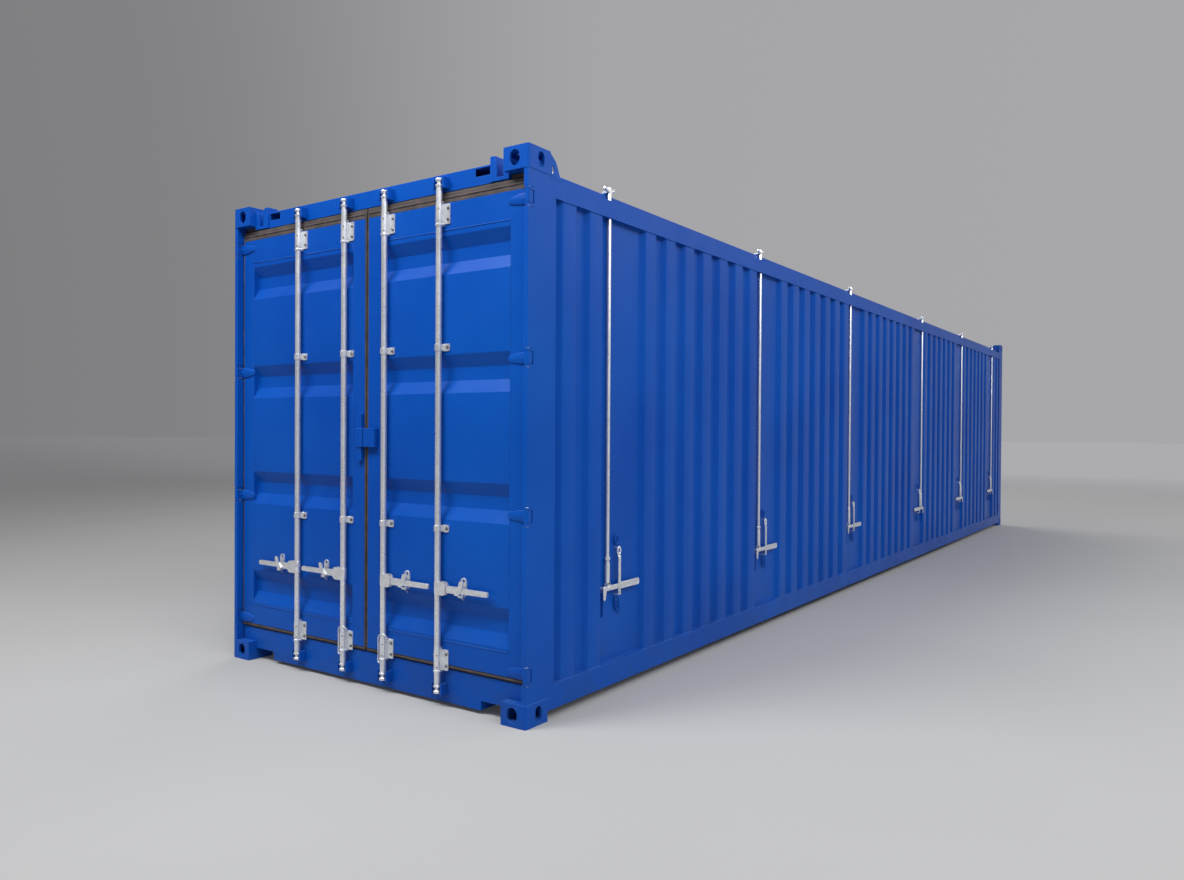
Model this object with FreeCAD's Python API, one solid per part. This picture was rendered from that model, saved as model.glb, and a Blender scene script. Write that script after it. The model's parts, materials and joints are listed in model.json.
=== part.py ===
"""Forty-foot high-cube container with a lift-off roof held down by rods.

Millimetres. +Z is up, the container's length lies along Y with the doors at -Y, and the origin is the
centre of its footprint on the ground.
"""
import FreeCAD, Part
import math
import os

os.makedirs("parts", exist_ok=True)

V = FreeCAD.Vector

# ---- overall size
length = 12192.0
width = 2438.0
height = 2896.0
half_l = length / 2
half_w = width / 2

# ---- corner castings
casting_l = 178.0
casting_w = 162.0
casting_h = 118.0
casting_wall = 16.0
casting_face = 28.0
casting_round = 14.0
lock_hole_from_end = 103.5
lock_hole_from_side = 89.5
lock_slot_l = 124.5
lock_slot_w = 63.5
end_hole_w = 66.0
side_hole_w = 51.0
face_hole_h = 79.5

# ---- frame
clearance = 5.0
past = 1.0  # how far a cutting shape runs beyond the face it cuts
skin_inset = 3.0
tube_wall = 6.0
post_flange_w = 29.0
post_depth = 228.0
post_inner_x = half_w - 49.0
post_step_y = 100.0
seal_face_x = half_w - skin_inset - post_flange_w
sill_bottom = 22.0
sill_top = 203.0
sill_face = 56.0
sill_notch_x = half_w - 344.0
sill_notch_top = 72.0
header_top = height - 46.0
header_bottom = header_top - 97.0
header_half = half_w - casting_w - 127.0
header_recess = (10.0, 110.0)
header_recess_z = (-50.0, -10.0)
header_behind = 2.0
front_header_bottom = header_top - 160.0
rail_wall = 4.5
bottom_rail_z = (50.0, 180.0)
bottom_rail_flange = 50.0
top_rail_z = (height - casting_h - 107.0, height - casting_h - 11.0)
top_rail_w = 60.0
front_post_w = 96.0
front_post_return = 100.0

# ---- lugs beside the rear header: widths at the foot, the widest point and the top, then the rise
header_lug = (44.0, 48.0, 34.0, 34.0)
casting_lug = (35.0, 41.0, 16.0, 20.0)
lug_widest_h = 55.0
lug_y = (-half_l + sill_face - 12.0, -half_l + sill_face + 64.0)
lug_tongue_h = 20.0

# ---- gusset plates, as distances from the casting's end and down from the top
gusset_t = 12.0
gusset_drop = 4.0
gusset_curve = ((27.0, 23.0), (48.0, 40.0), (62.0, 62.0), (74.0, 90.0), (88.0, 114.0))
gusset_foot = 120.0
gusset_slot_at = (24.0, 28.0)
gusset_slot_l = 44.0
gusset_slot_w = 16.0

# ---- side walls: troughs and wide recesses pressed into a flat sheet
sheet = 2.0
wall_inset = 8.0
trough_w = 124.0
trough_slope = 20.0
recess_w = 460.0
recess_before_rod = 85.0
end_slope_from_post = 67.0
trough_flat = 115.0
front_wall_inset = 16.0
front_trough_w = 142.0
front_trough_slope = 68.0
front_flat = 100.0
front_depth = 36.0

# ---- roof-lock rods
rod_outer = half_l - 746.0
rod_pitch = half_l * 0.33465
rod_r = 11.0
rod_inset = 20.0
trough_depth = rod_inset + rod_r + clearance - wall_inset
rod_bottom = 600.0
rod_top = height - casting_h + 48.0
eye_half = 14.0
eye_z = (-15.0, 30.0)
adjuster_r = rod_r + 4.0
adjuster_z = (100.0, 200.0)
hook_h = 12.0
hook_half = 16.0
hook_reach = 34.0
lever_inset = 8.0
lever_t = 4.0
lever_h = 40.0
lever_span = (59.0, 318.0)
lever_pin_at = 45.0
lever_pin_r = 12.0
strap_at = 101.0
strap_t = 3.0
strap_half = 12.0
strap_z = (-46.0, 205.0)
strap_foot_half = 10.0
strap_feet_z = ((-52.0, -32.0), (198.0, 222.0))
strap_inset = 0.5
rods_a_side = 6

# ---- roof
roof_half_w = half_w - 35.0
roof_edge_w = 40.0
roof_edge_h = 21.0
roof_rib = 20.0
roof_rib_w = 90.0
roof_rib_slope = 18.0
roof_ribs_a_rod = 4
roof_rib_end = 100.0
roof_end_gap = 6.0
cover_half = 60.0
cover_t = 4.0
cover_lift = 0.5
cleat_x = (36.0, 2.0)
cleat_half = 25.0
cleat_gap = 0.5
roof_seal_w = 22.0
roof_seal_inset = 4.0

# ---- floor
cross_member_pitch = 366.0
cross_member_flange = 45.0
cross_member_top = 172.0
floor_thick = 28.0

# ---- hinges
pin_x = half_w - 14.0
pin_y = -half_l + 14.0
pin_r = 8.0
pin_gap = 0.5
knuckle_r = 14.0
knuckle_h = 62.0
ear_h = 14.0
ear_gap = 2.0
pocket_half_h = knuckle_h / 2 + ear_gap + ear_h + 1.0
pocket_depth = 48.0
blade_t = 10.0
blade_h = 60.0
blade_reach = 110.0
blade_shoulder = 20.0
blade_tip = 0.55
blade_arm_half = 9.0

# ---- doors
door_face = -half_l + 44.0
door_t = 50.0
door_edge_x = post_inner_x
door_centre_x = 16.0
door_z = (sill_top + 27.0, header_bottom - 63.0)
door_h = door_z[1] - door_z[0]
hinge_z = tuple(door_z[0] + door_h * f for f in (0.013, 0.335, 0.656, 0.9785))
stile_w = 100.0
top_rail_h = 145.0
bottom_rail_h = 125.0
frame_wall = 4.0
seal_gap = 6.0
seal_centre_x = 4.0
seal_t = 40.0
seal_inset = 4.0
rib_h = 206.0
ribs_z = tuple(door_z[0] + door_h * f for f in (0.0994, 0.3565, 0.6305, 0.8872))
rib_depth = 36.0
rib_slope = 68.0

# ---- lock bars
bar_x = (half_w * 0.4865, half_w * 0.1395)
bar_y = -half_l + 22.0
bar_r = 17.0
bar_gap = 0.6
bar_z = (sill_top - 85.0, header_bottom + 23.0)
cam_h = 46.0
cam_half = 15.0
cam_waist_half = 9.0
cam_flange_h = 12.0
cam_overlap = 2.0
keeper_wall = 10.0
collar_wall = 2.0
keeper_base = 6.0
keeper_margin = 8.0
keeper_front = 12.0
guide_r = 21.5
guide_flange = 63.0
guide_flange_t = 6.0
guide_flange_inset = 12.0
guide_end_h = 135.0
guide_mid_h = 60.0
guide_mid_z = tuple(door_z[0] + door_h * f for f in (0.2955, 0.6878))
guide_z = [(door_z[0] - 44.0, door_z[0] - 44.0 + guide_end_h)]
guide_z += [(z - guide_mid_h / 2, z + guide_mid_h / 2) for z in guide_mid_z]
guide_z += [(door_z[1] + 10.0 - guide_end_h, door_z[1] + 10.0)]
handle_z = 640.0
handle_reach = bar_x[0] - bar_x[1] - 58.0
handle_h = 40.0
handle_t = 12.0
hub_reach = 72.0
hub_h = 80.0
hub_front = 19.0
hub_back = 10.0
handle_inset = 2.0
catch_at = 172.0
catch_l = 102.0
catch_w = 43.0
catch_t = 4.0
catch_rise = 15.0
ledge_half = 16.0
ledge_reach = 32.0
ledge_h = 8.0
flap_t = 6.0
flap_below = 4.0
flap_above = (26.0, 30.0)
flap_foot = (34.0, 8.0)
flap_top = (24.0, 0.0)

# ---- raised box over the doors' meeting edges
centre_box_z = (door_z[0] + 1153.0, door_z[0] + 1259.0)
centre_box_right = 102.0
centre_box_left = 70.0
centre_box_t = 30.0
centre_box_bevel = (8.0, 12.0)
bracket_x = (20.0, 58.0)
bracket_t = 22.0
bracket_z = (centre_box_z[0] - 80.0, centre_box_z[1] + 84.0)


def box(x0, x1, y0, y1, z0, z1):
    """A box between two values on each axis, given in any order."""
    low = V(min(x0, x1), min(y0, y1), min(z0, z1))
    return Part.makeBox(abs(x1 - x0), abs(y1 - y0), abs(z1 - z0), low)


def prism(points, direction):
    """A solid pushed from a closed outline of (x, y, z) points along a direction."""
    corners = [V(*p) for p in points]
    wire = Part.makePolygon(corners + [corners[0]])
    return Part.Face(wire).extrude(V(*direction))


def rod(radius, start, direction, long):
    """A round bar from a point along a direction."""
    return Part.makeCylinder(radius, long, V(*start), V(*direction))


def mirror_x(shape):
    return shape.mirror(V(0, 0, 0), V(1, 0, 0))


def mirror_y(shape):
    return shape.mirror(V(0, 0, 0), V(0, 1, 0))


def both_sides(shapes):
    """The shapes on the +X side and their mirror images on the -X side."""
    return shapes + [mirror_x(s) for s in shapes]


def both_ends(shapes):
    """The shapes at the door end and their mirror images at the front end."""
    return shapes + [mirror_y(s) for s in shapes]


def save(node, shapes):
    """Write one node, as one solid or as a compound of separate solids."""
    solids = []
    for shape in shapes:
        solids += shape.Solids
    whole = solids[0] if len(solids) == 1 else Part.makeCompound(solids)
    whole.exportStep("parts/" + node + ".step")


def slot(long, wide, start, direction, along, deep):
    """A slot with round ends: long is end to end, along is the direction of its length."""
    half = (long - wide) / 2
    step = V(*along) * half
    middle = V(*start)
    a = Part.makeCylinder(wide / 2, deep, middle - step, V(*direction))
    b = Part.makeCylinder(wide / 2, deep, middle + step, V(*direction))
    side = V(*direction).cross(V(*along)) * (wide / 2)
    corners = [middle - step - side, middle + step - side, middle + step + side, middle - step + side]
    web = Part.Face(Part.makePolygon(corners + [corners[0]])).extrude(V(*direction) * deep)
    return a.fuse([b, web]).removeSplitter()


# ------------------------------------------------------------------ frame

def bottom_casting():
    """The rear right bottom casting: a thick hollow block with a slot below and a hole in each face."""
    x0 = half_w - casting_w
    y1 = -half_l + casting_l
    block = box(x0, half_w, -half_l, y1, 0, casting_h)
    corner = [e for e in block.Edges if is_outer_upright(e)]
    block = block.makeFillet(casting_round, corner)
    low, high = casting_face, casting_h - casting_wall
    block = block.cut(
        box(
            x0 + casting_wall,
            half_w - casting_wall,
            -half_l + casting_wall,
            y1 - casting_wall,
            low,
            high,
        )
    )
    hole_x = half_w - lock_hole_from_side
    hole_y = -half_l + lock_hole_from_end
    middle = casting_h / 2
    start = (hole_x, hole_y, -past)
    block = block.cut(slot(lock_slot_l, lock_slot_w, start, (0, 0, 1), (0, 1, 0), low + 2 * past))
    deep = casting_wall + 2 * past
    end_hole = slot(face_hole_h, end_hole_w, (hole_x, -half_l - past, middle), (0, 1, 0), (0, 0, 1), deep)
    side_hole = slot(face_hole_h, side_hole_w, (half_w + past, hole_y, middle), (-1, 0, 0), (0, 0, 1), deep)
    return block.cut(end_hole).cut(side_hole)


def is_outer_upright(edge):
    """Whether an edge is the upright one at the container's own corner."""
    middle = edge.CenterOfMass
    return math.hypot(middle.x - half_w, middle.y + half_l) < past


def top_casting():
    """The bottom casting turned upside down, at the top of the post."""
    flipped = bottom_casting().mirror(V(0, 0, 0), V(0, 0, 1))
    flipped.translate(V(0, 0, height))
    return flipped


def bottom_castings():
    return both_ends(both_sides([bottom_casting()]))


def top_castings():
    return both_ends(both_sides([top_casting()]))


def pocket(z, grow):
    """The space cut in a rear post for one hinge, or its lining when grown."""
    x0 = seal_face_x - (0 if grow else past)
    x1 = half_w - (skin_inset if grow else -past)
    y0 = -half_l + (skin_inset if grow else -past)
    y1 = -half_l + skin_inset + pocket_depth + grow
    return box(x0, x1, y0, y1, z - pocket_half_h - grow, z + pocket_half_h + grow)


def rear_post():
    """A hollow post with a narrow rear flange, stepped behind the door's edge."""
    x1 = half_w - skin_inset
    y0 = -half_l + skin_inset
    y1 = -half_l + skin_inset + post_depth
    step = -half_l + post_step_y
    w = tube_wall
    outline = [(x1, y0), (seal_face_x, y0), (seal_face_x, step), (post_inner_x, step)]
    outline += [(post_inner_x, y1), (x1, y1)]
    inside = [(x1 - w, y0 + w), (seal_face_x + w, y0 + w), (seal_face_x + w, step + w)]
    inside += [(post_inner_x + w, step + w), (post_inner_x + w, y1 - w), (x1 - w, y1 - w)]
    tall = height - 2 * casting_h
    post = prism([(x, y, casting_h) for x, y in outline], (0, 0, tall))
    post = post.cut(prism([(x, y, casting_h - past) for x, y in inside], (0, 0, tall + 2 * past)))
    for z in hinge_z:
        post = post.fuse(pocket(z, tube_wall))
    post = post.removeSplitter()
    for z in hinge_z:
        post = post.cut(pocket(z, 0))
    return post


def post_hinge(z):
    """Two ears and the pin between them, filling the mouth of one pocket."""
    back = -half_l + skin_inset + pocket_depth
    parts = []
    for sign in (-1, 1):
        base = z + sign * (knuckle_h / 2 + ear_gap) + (0 if sign > 0 else -ear_h)
        parts.append(box(pin_x - knuckle_r, pin_x + knuckle_r - skin_inset, pin_y, back, base, base + ear_h))
        parts.append(rod(knuckle_r, (pin_x, pin_y, base), (0, 0, 1), ear_h))
    pin_half = knuckle_h / 2 + ear_gap + ear_h
    pin = rod(pin_r, (pin_x, pin_y, z - pin_half), (0, 0, 1), 2 * pin_half)
    return pin.fuse(parts).removeSplitter()


def front_post():
    """A hollow post, L-shaped in plan."""
    x1 = half_w - skin_inset
    y1 = half_l - skin_inset
    y0 = y1 - post_depth
    x0 = x1 - front_post_w
    step = y1 - front_post_return
    w = tube_wall
    outline = [(x1, y0), (x1, y1), (x0, y1), (x0, step), (post_inner_x, step), (post_inner_x, y0)]
    inside = [(x1 - w, y0 + w), (x1 - w, y1 - w), (x0 + w, y1 - w), (x0 + w, step + w)]
    inside += [(post_inner_x + w, step + w), (post_inner_x + w, y0 + w)]
    tall = height - 2 * casting_h
    post = prism([(x, y, casting_h) for x, y in outline], (0, 0, tall))
    return post.cut(prism([(x, y, casting_h - past) for x, y in inside], (0, 0, tall + 2 * past)))


def casting_gusset():
    """The plate that runs from a top casting down to the side rail, with a slot in it."""
    x1 = half_w - skin_inset
    y0 = -half_l + casting_l
    post_end = -half_l + skin_inset + post_depth
    low = height - casting_h
    rail = top_rail_z[1]
    outline = [(y0, low), (y0, height - gusset_drop)]
    outline += [(y0 + along, height - down) for along, down in gusset_curve]
    outline += [(y0 + gusset_foot, rail), (post_end, rail), (post_end, low)]
    plate = prism([(x1, y, z) for y, z in outline], (-gusset_t, 0, 0))
    middle = (x1 + past, y0 + gusset_slot_at[0], low + gusset_slot_at[1])
    return plate.cut(slot(gusset_slot_l, gusset_slot_w, middle, (-1, 0, 0), (0, 0, 1), gusset_t + 2 * past))


def tube_along_x(half, y0, y1, z0, z1, wall):
    """A box section across the container."""
    tube = box(-half, half, y0, y1, z0, z1)
    return tube.cut(box(-half - past, half + past, y0 + wall, y1 - wall, z0 + wall, z1 - wall))


def casting_space(y0, y1, z0, z1):
    """The blocks at both sides where castings take the place of a crosswise section."""
    inner = half_w - casting_w
    right = box(inner, half_w, y0 - past, y1 + past, z0, z1)
    return right.fuse(mirror_x(right))


def rear_sill():
    """The rear sill, a closed section whose underside steps up beside the castings."""
    y0 = -half_l + sill_face
    y1 = -half_l + casting_l
    w = tube_wall
    outer = box(-post_inner_x, post_inner_x, y0, y1, sill_bottom, sill_top)
    inner = box(
        -post_inner_x - past, post_inner_x + past, y0 + w, y1 - w, sill_bottom + w, sill_top - w
    )
    for sign in (-1, 1):
        near, end = sign * sill_notch_x, sign * (post_inner_x + 2 * past)
        outer = outer.cut(box(near, end, y0 - past, y1 + past, sill_bottom - past, sill_notch_top))
        inner = inner.cut(box(near - sign * w, end, y0, y1, sill_bottom, sill_notch_top + w))
    return outer.cut(inner).cut(casting_space(y0, y1, 0, casting_h))


def front_sill():
    half = half_w - skin_inset - front_post_w
    y0 = half_l - casting_l
    y1 = half_l - 2 * skin_inset
    sill = tube_along_x(half, y0, y1, sill_bottom, sill_top - skin_inset, tube_wall)
    return sill.cut(casting_space(y0, y1, 0, casting_h))


def rear_header():
    """The rear header, with an opening high in its face at each end."""
    y0 = -half_l + sill_face
    y1 = -half_l + casting_l + header_behind
    header = tube_along_x(header_half, y0, y1, header_bottom, header_top, tube_wall)
    low, high = [header_top + z for z in header_recess_z]
    for sign in (-1, 1):
        x0, x1 = [sign * (header_half - a) for a in header_recess]
        header = header.cut(box(x0, x1, y0 - past, y0 + tube_wall + past, low, high))
    return header


def lug(x, way, sizes):
    """A lug standing beside the header, growing from x in the direction of way."""
    foot, widest, top, rise = sizes
    low, high = header_bottom, header_top + rise
    outline = [(x, low), (x + way * foot, low), (x + way * widest, low + lug_widest_h)]
    outline += [(x + way * top, high), (x, high)]
    return prism([(a, lug_y[0], z) for a, z in outline], (0, lug_y[1] - lug_y[0], 0))


def header_fittings():
    """At each end a lug on the header and one on the casting, a V between them, joined below by a tongue."""
    casting_side = half_w - casting_w
    low = header_bottom
    tongue = box(header_half, casting_side, *lug_y, low, low + lug_tongue_h)
    lugs = [lug(casting_side, -1, casting_lug), tongue]
    return both_sides([lug(header_half, 1, header_lug).fuse(lugs).removeSplitter()])


def corner_seals():
    """Rubber blocks that close the corners under the top castings."""
    y0 = -half_l + sill_face + 8
    inner = half_w - casting_w
    y1 = -half_l + post_step_y - past
    block = box(inner, seal_face_x, y0, y1, header_bottom + past, height - casting_h)
    return both_sides([block])


def front_header():
    half = half_w - skin_inset - front_post_w
    y0 = half_l - casting_l
    y1 = half_l - 2 * skin_inset
    header = tube_along_x(half, y0, y1, front_header_bottom, header_top, tube_wall)
    return header.cut(casting_space(y0, y1, height - casting_h, height))


def bottom_side_rail():
    """A channel open to the inside, cut away where the posts stand on the castings."""
    x1 = half_w - skin_inset
    x0 = x1 - bottom_rail_flange
    z0, z1 = bottom_rail_z
    y1 = half_l - casting_l
    rail = box(x0, x1, -y1, y1, z0, z1)
    w = rail_wall
    rail = rail.cut(box(x0 - past, x1 - w, -y1 - past, y1 + past, z0 + w, z1 - w))
    post_end = half_l - skin_inset - post_depth
    for y in (-1, 1):
        rail = rail.cut(box(x0 - past, x1 + past, y * post_end, y * (y1 + past), casting_h, z1 + past))
    return rail


def rod_places():
    """Where the rods are along one side: y, and +1 where the lever points to +Y."""
    places = []
    for k in range(rods_a_side // 2):
        y = rod_outer - k * rod_pitch
        places += [(-y, 1), (y, -1)]
    return places


def top_side_rail():
    """A box section, with holes for the rods that pass up through it."""
    x1 = half_w - skin_inset
    x0 = x1 - top_rail_w
    z0, z1 = top_rail_z
    y1 = half_l - skin_inset - post_depth
    rail = box(x0, x1, -y1, y1, z0, z1)
    w = rail_wall
    rail = rail.cut(box(x0 + w, x1 - w, -y1 - past, y1 + past, z0 + w, z1 - w))
    for y, _ in rod_places():
        middle = (half_w - rod_inset, y, z0 - past)
        rail = rail.cut(rod(rod_r + past, middle, (0, 0, 1), z1 - z0 + 2 * past))
    return rail


# ------------------------------------------------------------------ walls

def offset_line(points, distance):
    """An open line of (u, v) points moved sideways, to the left of its direction."""
    out = []
    for i, (u, v) in enumerate(points):
        sides = []
        for a, b in ((i - 1, i), (i, i + 1)):
            if a < 0 or b >= len(points):
                continue
            du, dv = points[b][0] - points[a][0], points[b][1] - points[a][1]
            long = math.hypot(du, dv)
            sides.append((-dv / long, du / long))
        nu = sum(s[0] for s in sides) / len(sides)
        nv = sum(s[1] for s in sides) / len(sides)
        scale = distance / (nu * nu + nv * nv)
        out.append((u + nu * scale, v + nv * scale))
    return out


def spread_troughs(start, end, wide, slope, least_flat, depth):
    """Corners (along, depth) of as many equal troughs as fit between two flat ends."""
    count = int((end - start - least_flat) / (wide + least_flat))
    flat = (end - start - count * wide) / (count + 1)
    out = []
    for k in range(count):
        a = start + flat + k * (wide + flat)
        out += [(a, 0), (a + slope, depth), (a + wide - slope, depth), (a + wide, 0)]
    return out


def side_wall_line():
    """Corners (y, depth) of the side sheet from the rear post to the front post."""
    post_end = half_l - skin_inset - post_depth
    first = -post_end + end_slope_from_post
    half = [(-post_end, trough_depth), (first - trough_slope, trough_depth), (first, 0)]
    last = first
    for y, way in sorted(rod_places()):
        if way < 0:
            continue
        near = y - recess_before_rod
        far = near + recess_w
        half += spread_troughs(last, near, trough_w, trough_slope, trough_flat, trough_depth)
        half += [(near, 0), (near + trough_slope, trough_depth), (far - trough_slope, trough_depth), (far, 0)]
        last = far
    middle = spread_troughs(last, -last, trough_w, trough_slope, trough_flat, trough_depth)
    return half + middle + [(-y, d) for y, d in reversed(half)]


def side_wall():
    """The right side's pressed sheet, between the rails and the posts."""
    outer = half_w - wall_inset
    line = [(outer - d, y) for y, d in side_wall_line()]
    outline = line + offset_line(line, sheet)[::-1]
    low, high = bottom_rail_z[1], top_rail_z[0]
    return prism([(x, y, low) for x, y in outline], (0, 0, high - low))


def front_wall():
    """The front end's pressed sheet, between the front posts, sill and header."""
    half = half_w - skin_inset - front_post_w
    outer = half_l - front_wall_inset
    troughs = spread_troughs(-half, half, front_trough_w, front_trough_slope / 2, front_flat, front_depth)
    line = [(-x, outer - d) for x, d in [(-half, 0)] + troughs + [(half, 0)]]
    outline = line + offset_line(line, sheet)[::-1]
    low = sill_top - skin_inset
    return prism([(x, y, low) for x, y in outline], (0, 0, front_header_bottom - low))


# ------------------------------------------------------------------ floor and roof

def cross_members():
    """Channels between the side rails, under the floor."""
    z0 = bottom_rail_z[0] + rail_wall
    z1 = cross_member_top
    x1 = half_w - skin_inset - rail_wall
    t = rail_wall
    free = 2 * (half_l - casting_l) - 2 * cross_member_flange
    count = int(free / cross_member_pitch)
    out = []
    for k in range(count):
        y = (k - (count - 1) / 2) * cross_member_pitch
        far = y + cross_member_flange
        outline = [(y, z0), (far, z0), (far, z0 + t), (y + t, z0 + t)]
        outline += [(y + t, z1 - t), (far, z1 - t), (far, z1), (y, z1)]
        out.append(prism([(-x1, a, z) for a, z in outline], (2 * x1, 0, 0)))
    return out


def floor_deck():
    x1 = half_w - skin_inset - bottom_rail_flange - 2
    y1 = half_l - casting_l
    return box(-x1, x1, -y1, y1, cross_member_top, cross_member_top + floor_thick)


def roof_seal():
    """Rubber strips on the side rails, under the roof's edge."""
    x1 = roof_half_w - roof_seal_inset
    y1 = half_l - skin_inset - post_depth
    strip = box(x1 - roof_seal_w, x1, -y1, y1, top_rail_z[1], height - casting_h)
    return both_sides([strip])


def roof_rib_solid(y, reach, low, high, wall):
    """A bar of a rib's shape between two heights, its sloped sides set in by a wall's thickness."""
    foot = height - casting_h + roof_edge_h + sheet
    inset = wall * math.hypot(roof_rib, roof_rib_slope) / roof_rib
    outline = []
    for z in (low, high):
        half = roof_rib_w / 2 - inset - (z - foot) * roof_rib_slope / roof_rib
        outline.append((half, z))
    points = [(y - half, z) for half, z in outline] + [(y + half, z) for half, z in outline[::-1]]
    return prism([(-reach, a, z) for a, z in points], (2 * reach, 0, 0))


def roof_panel():
    """The rear half of the roof: an edge frame under a sheet with crosswise ribs."""
    y0 = -half_l + casting_l + roof_end_gap
    y1 = -seal_centre_x
    z0 = height - casting_h
    z1 = z0 + roof_edge_h
    e = roof_edge_w
    ring = box(-roof_half_w, roof_half_w, y0, y1, z0, z1)
    ring = ring.cut(box(-roof_half_w + e, roof_half_w - e, y0 + e, y1 - e, z0 - past, z1 + past))
    top = box(-roof_half_w, roof_half_w, y0, y1, z1, z1 + sheet)
    step = rod_pitch / roof_ribs_a_rod
    y = -rod_outer - step / 2
    while y < y1 - roof_rib_w:
        reach = roof_half_w - roof_rib_end
        top = top.fuse(roof_rib_solid(y, reach, z1 + sheet, z1 + sheet + roof_rib, 0))
        top = top.cut(roof_rib_solid(y, reach - sheet, z1 - past, z1 + roof_rib, sheet))
        y += step
    return ring.fuse(top).removeSplitter()


def roof_panels():
    """Both halves, the rear one with the strip that covers the joint between them."""
    rear = roof_panel()
    z = height - casting_h + roof_edge_h + sheet
    c = cover_half
    outline = [(-c, z), (0, z), (0, z + cover_lift), (c, z + cover_lift), (c, z + cover_t), (-c, z + cover_t)]
    half = roof_half_w - c
    strip = prism([(-half, a, b) for a, b in outline], (2 * half, 0, 0))
    return [rear.fuse(strip).removeSplitter(), mirror_y(rear)]


# ------------------------------------------------------------------ roof-lock rods

def roof_lock_rod(y):
    """A rod with an eye at the lever, an adjuster, and a hook over the roof's edge."""
    x = half_w - rod_inset
    lever_back = half_w - lever_inset
    bar = rod(rod_r, (x, y, rod_bottom), (0, 0, 1), rod_top - rod_bottom)
    low, high = [rod_bottom + z for z in eye_z]
    eye = box(x - rod_r - 2, lever_back, y - eye_half, y + eye_half, low, high)
    low, high = [rod_bottom + z for z in adjuster_z]
    adjuster = rod(adjuster_r, (x, y, low), (0, 0, 1), high - low)
    inner = roof_half_w - hook_reach
    hook = box(inner, x + rod_r, y - hook_half, y + hook_half, rod_top - hook_h, rod_top)
    return bar.fuse([eye, adjuster, hook]).removeSplitter()


def roof_lock_lever(y, way):
    """A flat lever on a pin in the wall, in front of the rod's eye."""
    back = half_w - lever_inset
    floor = half_w - wall_inset - trough_depth
    low, high = rod_bottom - lever_h / 2, rod_bottom + lever_h / 2
    near, far = y - way * lever_span[0], y + way * lever_span[1]
    plate = box(back, back + lever_t, near, far, low, high)
    pin = rod(lever_pin_r, (floor, y - way * lever_pin_at, rod_bottom), (1, 0, 0), back - floor + past)
    return plate.fuse(pin).removeSplitter()


def lever_strap(y, way):
    """The upright strap that holds a lever, on a stand-off at each end."""
    a = y + way * strap_at
    floor = half_w - wall_inset - trough_depth
    outer = half_w - strap_inset
    low, high = [rod_bottom + z for z in strap_z]
    band = box(outer - strap_t, outer, a - strap_half, a + strap_half, low, high)
    feet = []
    for z0, z1 in strap_feet_z:
        foot = (a - strap_foot_half, a + strap_foot_half, rod_bottom + z0, rod_bottom + z1)
        feet.append(box(floor, outer - strap_t + past, *foot))
    return band.fuse(feet).removeSplitter()


def roof_cleat(y):
    """The block on the roof's edge that a hook bears on."""
    z = height - casting_h + roof_edge_h + sheet
    x0, x1 = [roof_half_w - a for a in cleat_x]
    return box(x0, x1, y - cleat_half, y + cleat_half, z, rod_top - hook_h - cleat_gap)


# ------------------------------------------------------------------ right door

def door_frame():
    """Box uprights and channel rails, open towards the inside."""
    y0, y1 = door_face, door_face + door_t
    x0, x1 = door_centre_x, door_edge_x
    z0, z1 = door_z
    t = frame_wall
    frame = box(x0, x1, y0, y1, z0, z1)
    inner = (x0 + stile_w, x1 - stile_w)
    frame = frame.cut(box(*inner, y0 - past, y1 + past, z0 + bottom_rail_h, z1 - top_rail_h))
    for a in (x0, x1 - stile_w):
        frame = frame.cut(box(a + t, a + stile_w - t, y0 + t, y1 - t, z0 - past, z1 + past))
    for a, b in ((z0, z0 + bottom_rail_h), (z1 - top_rail_h, z1)):
        frame = frame.cut(box(*inner, y0 + t, y1 + past, a + t, b - t))
    return frame


def door_panel():
    """The door's sheet, with crosswise recesses pressed into it."""
    low, high = door_z[0] + bottom_rail_h, door_z[1] - top_rail_h
    line = [(door_face, low)]
    for middle in ribs_z:
        a, b = middle - rib_h / 2, middle + rib_h / 2
        line += [(door_face, a), (door_face + rib_depth, a + rib_slope)]
        line += [(door_face + rib_depth, b - rib_slope), (door_face, b)]
    line.append((door_face, high))
    outline = line + offset_line(line, -sheet)[::-1]
    x0, x1 = door_centre_x + stile_w, door_edge_x - stile_w
    return prism([(x0, y, z) for y, z in outline], (x1 - x0, 0, 0))


def door_seal():
    """The rubber strip around the door's edge."""
    y0 = door_face + seal_inset
    y1 = y0 + seal_t
    low, high = sill_top + seal_gap, header_bottom - seal_gap
    outer = box(seal_centre_x, seal_face_x - seal_gap, y0, y1, low, high)
    return outer.cut(box(door_centre_x, door_edge_x, y0 - past, y1 + past, *door_z))


def hinge_blade(z):
    """A knuckle on the pin and a tapered blade on the door's face."""
    x_end = door_edge_x - blade_reach
    half = blade_h / 2
    low = z - knuckle_h / 2
    knuckle = rod(knuckle_r, (pin_x, pin_y, low), (0, 0, 1), knuckle_h)
    arm = box(pin_x - blade_arm_half, pin_x + blade_arm_half, pin_y, door_face, z - half, z + half)
    root = pin_x + blade_arm_half
    shoulder = door_edge_x - blade_shoulder
    tip = half * blade_tip
    outline = [(root, z - half), (shoulder, z - half), (x_end, z - tip)]
    outline += [(x_end, z + tip), (shoulder, z + half), (root, z + half)]
    plate = prism([(x, door_face - blade_t, b) for x, b in outline], (0, blade_t, 0))
    whole = knuckle.fuse([arm, plate]).removeSplitter()
    return whole.cut(rod(pin_r + pin_gap, (pin_x, pin_y, low - past), (0, 0, 1), knuckle_h + 2 * past))


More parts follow.
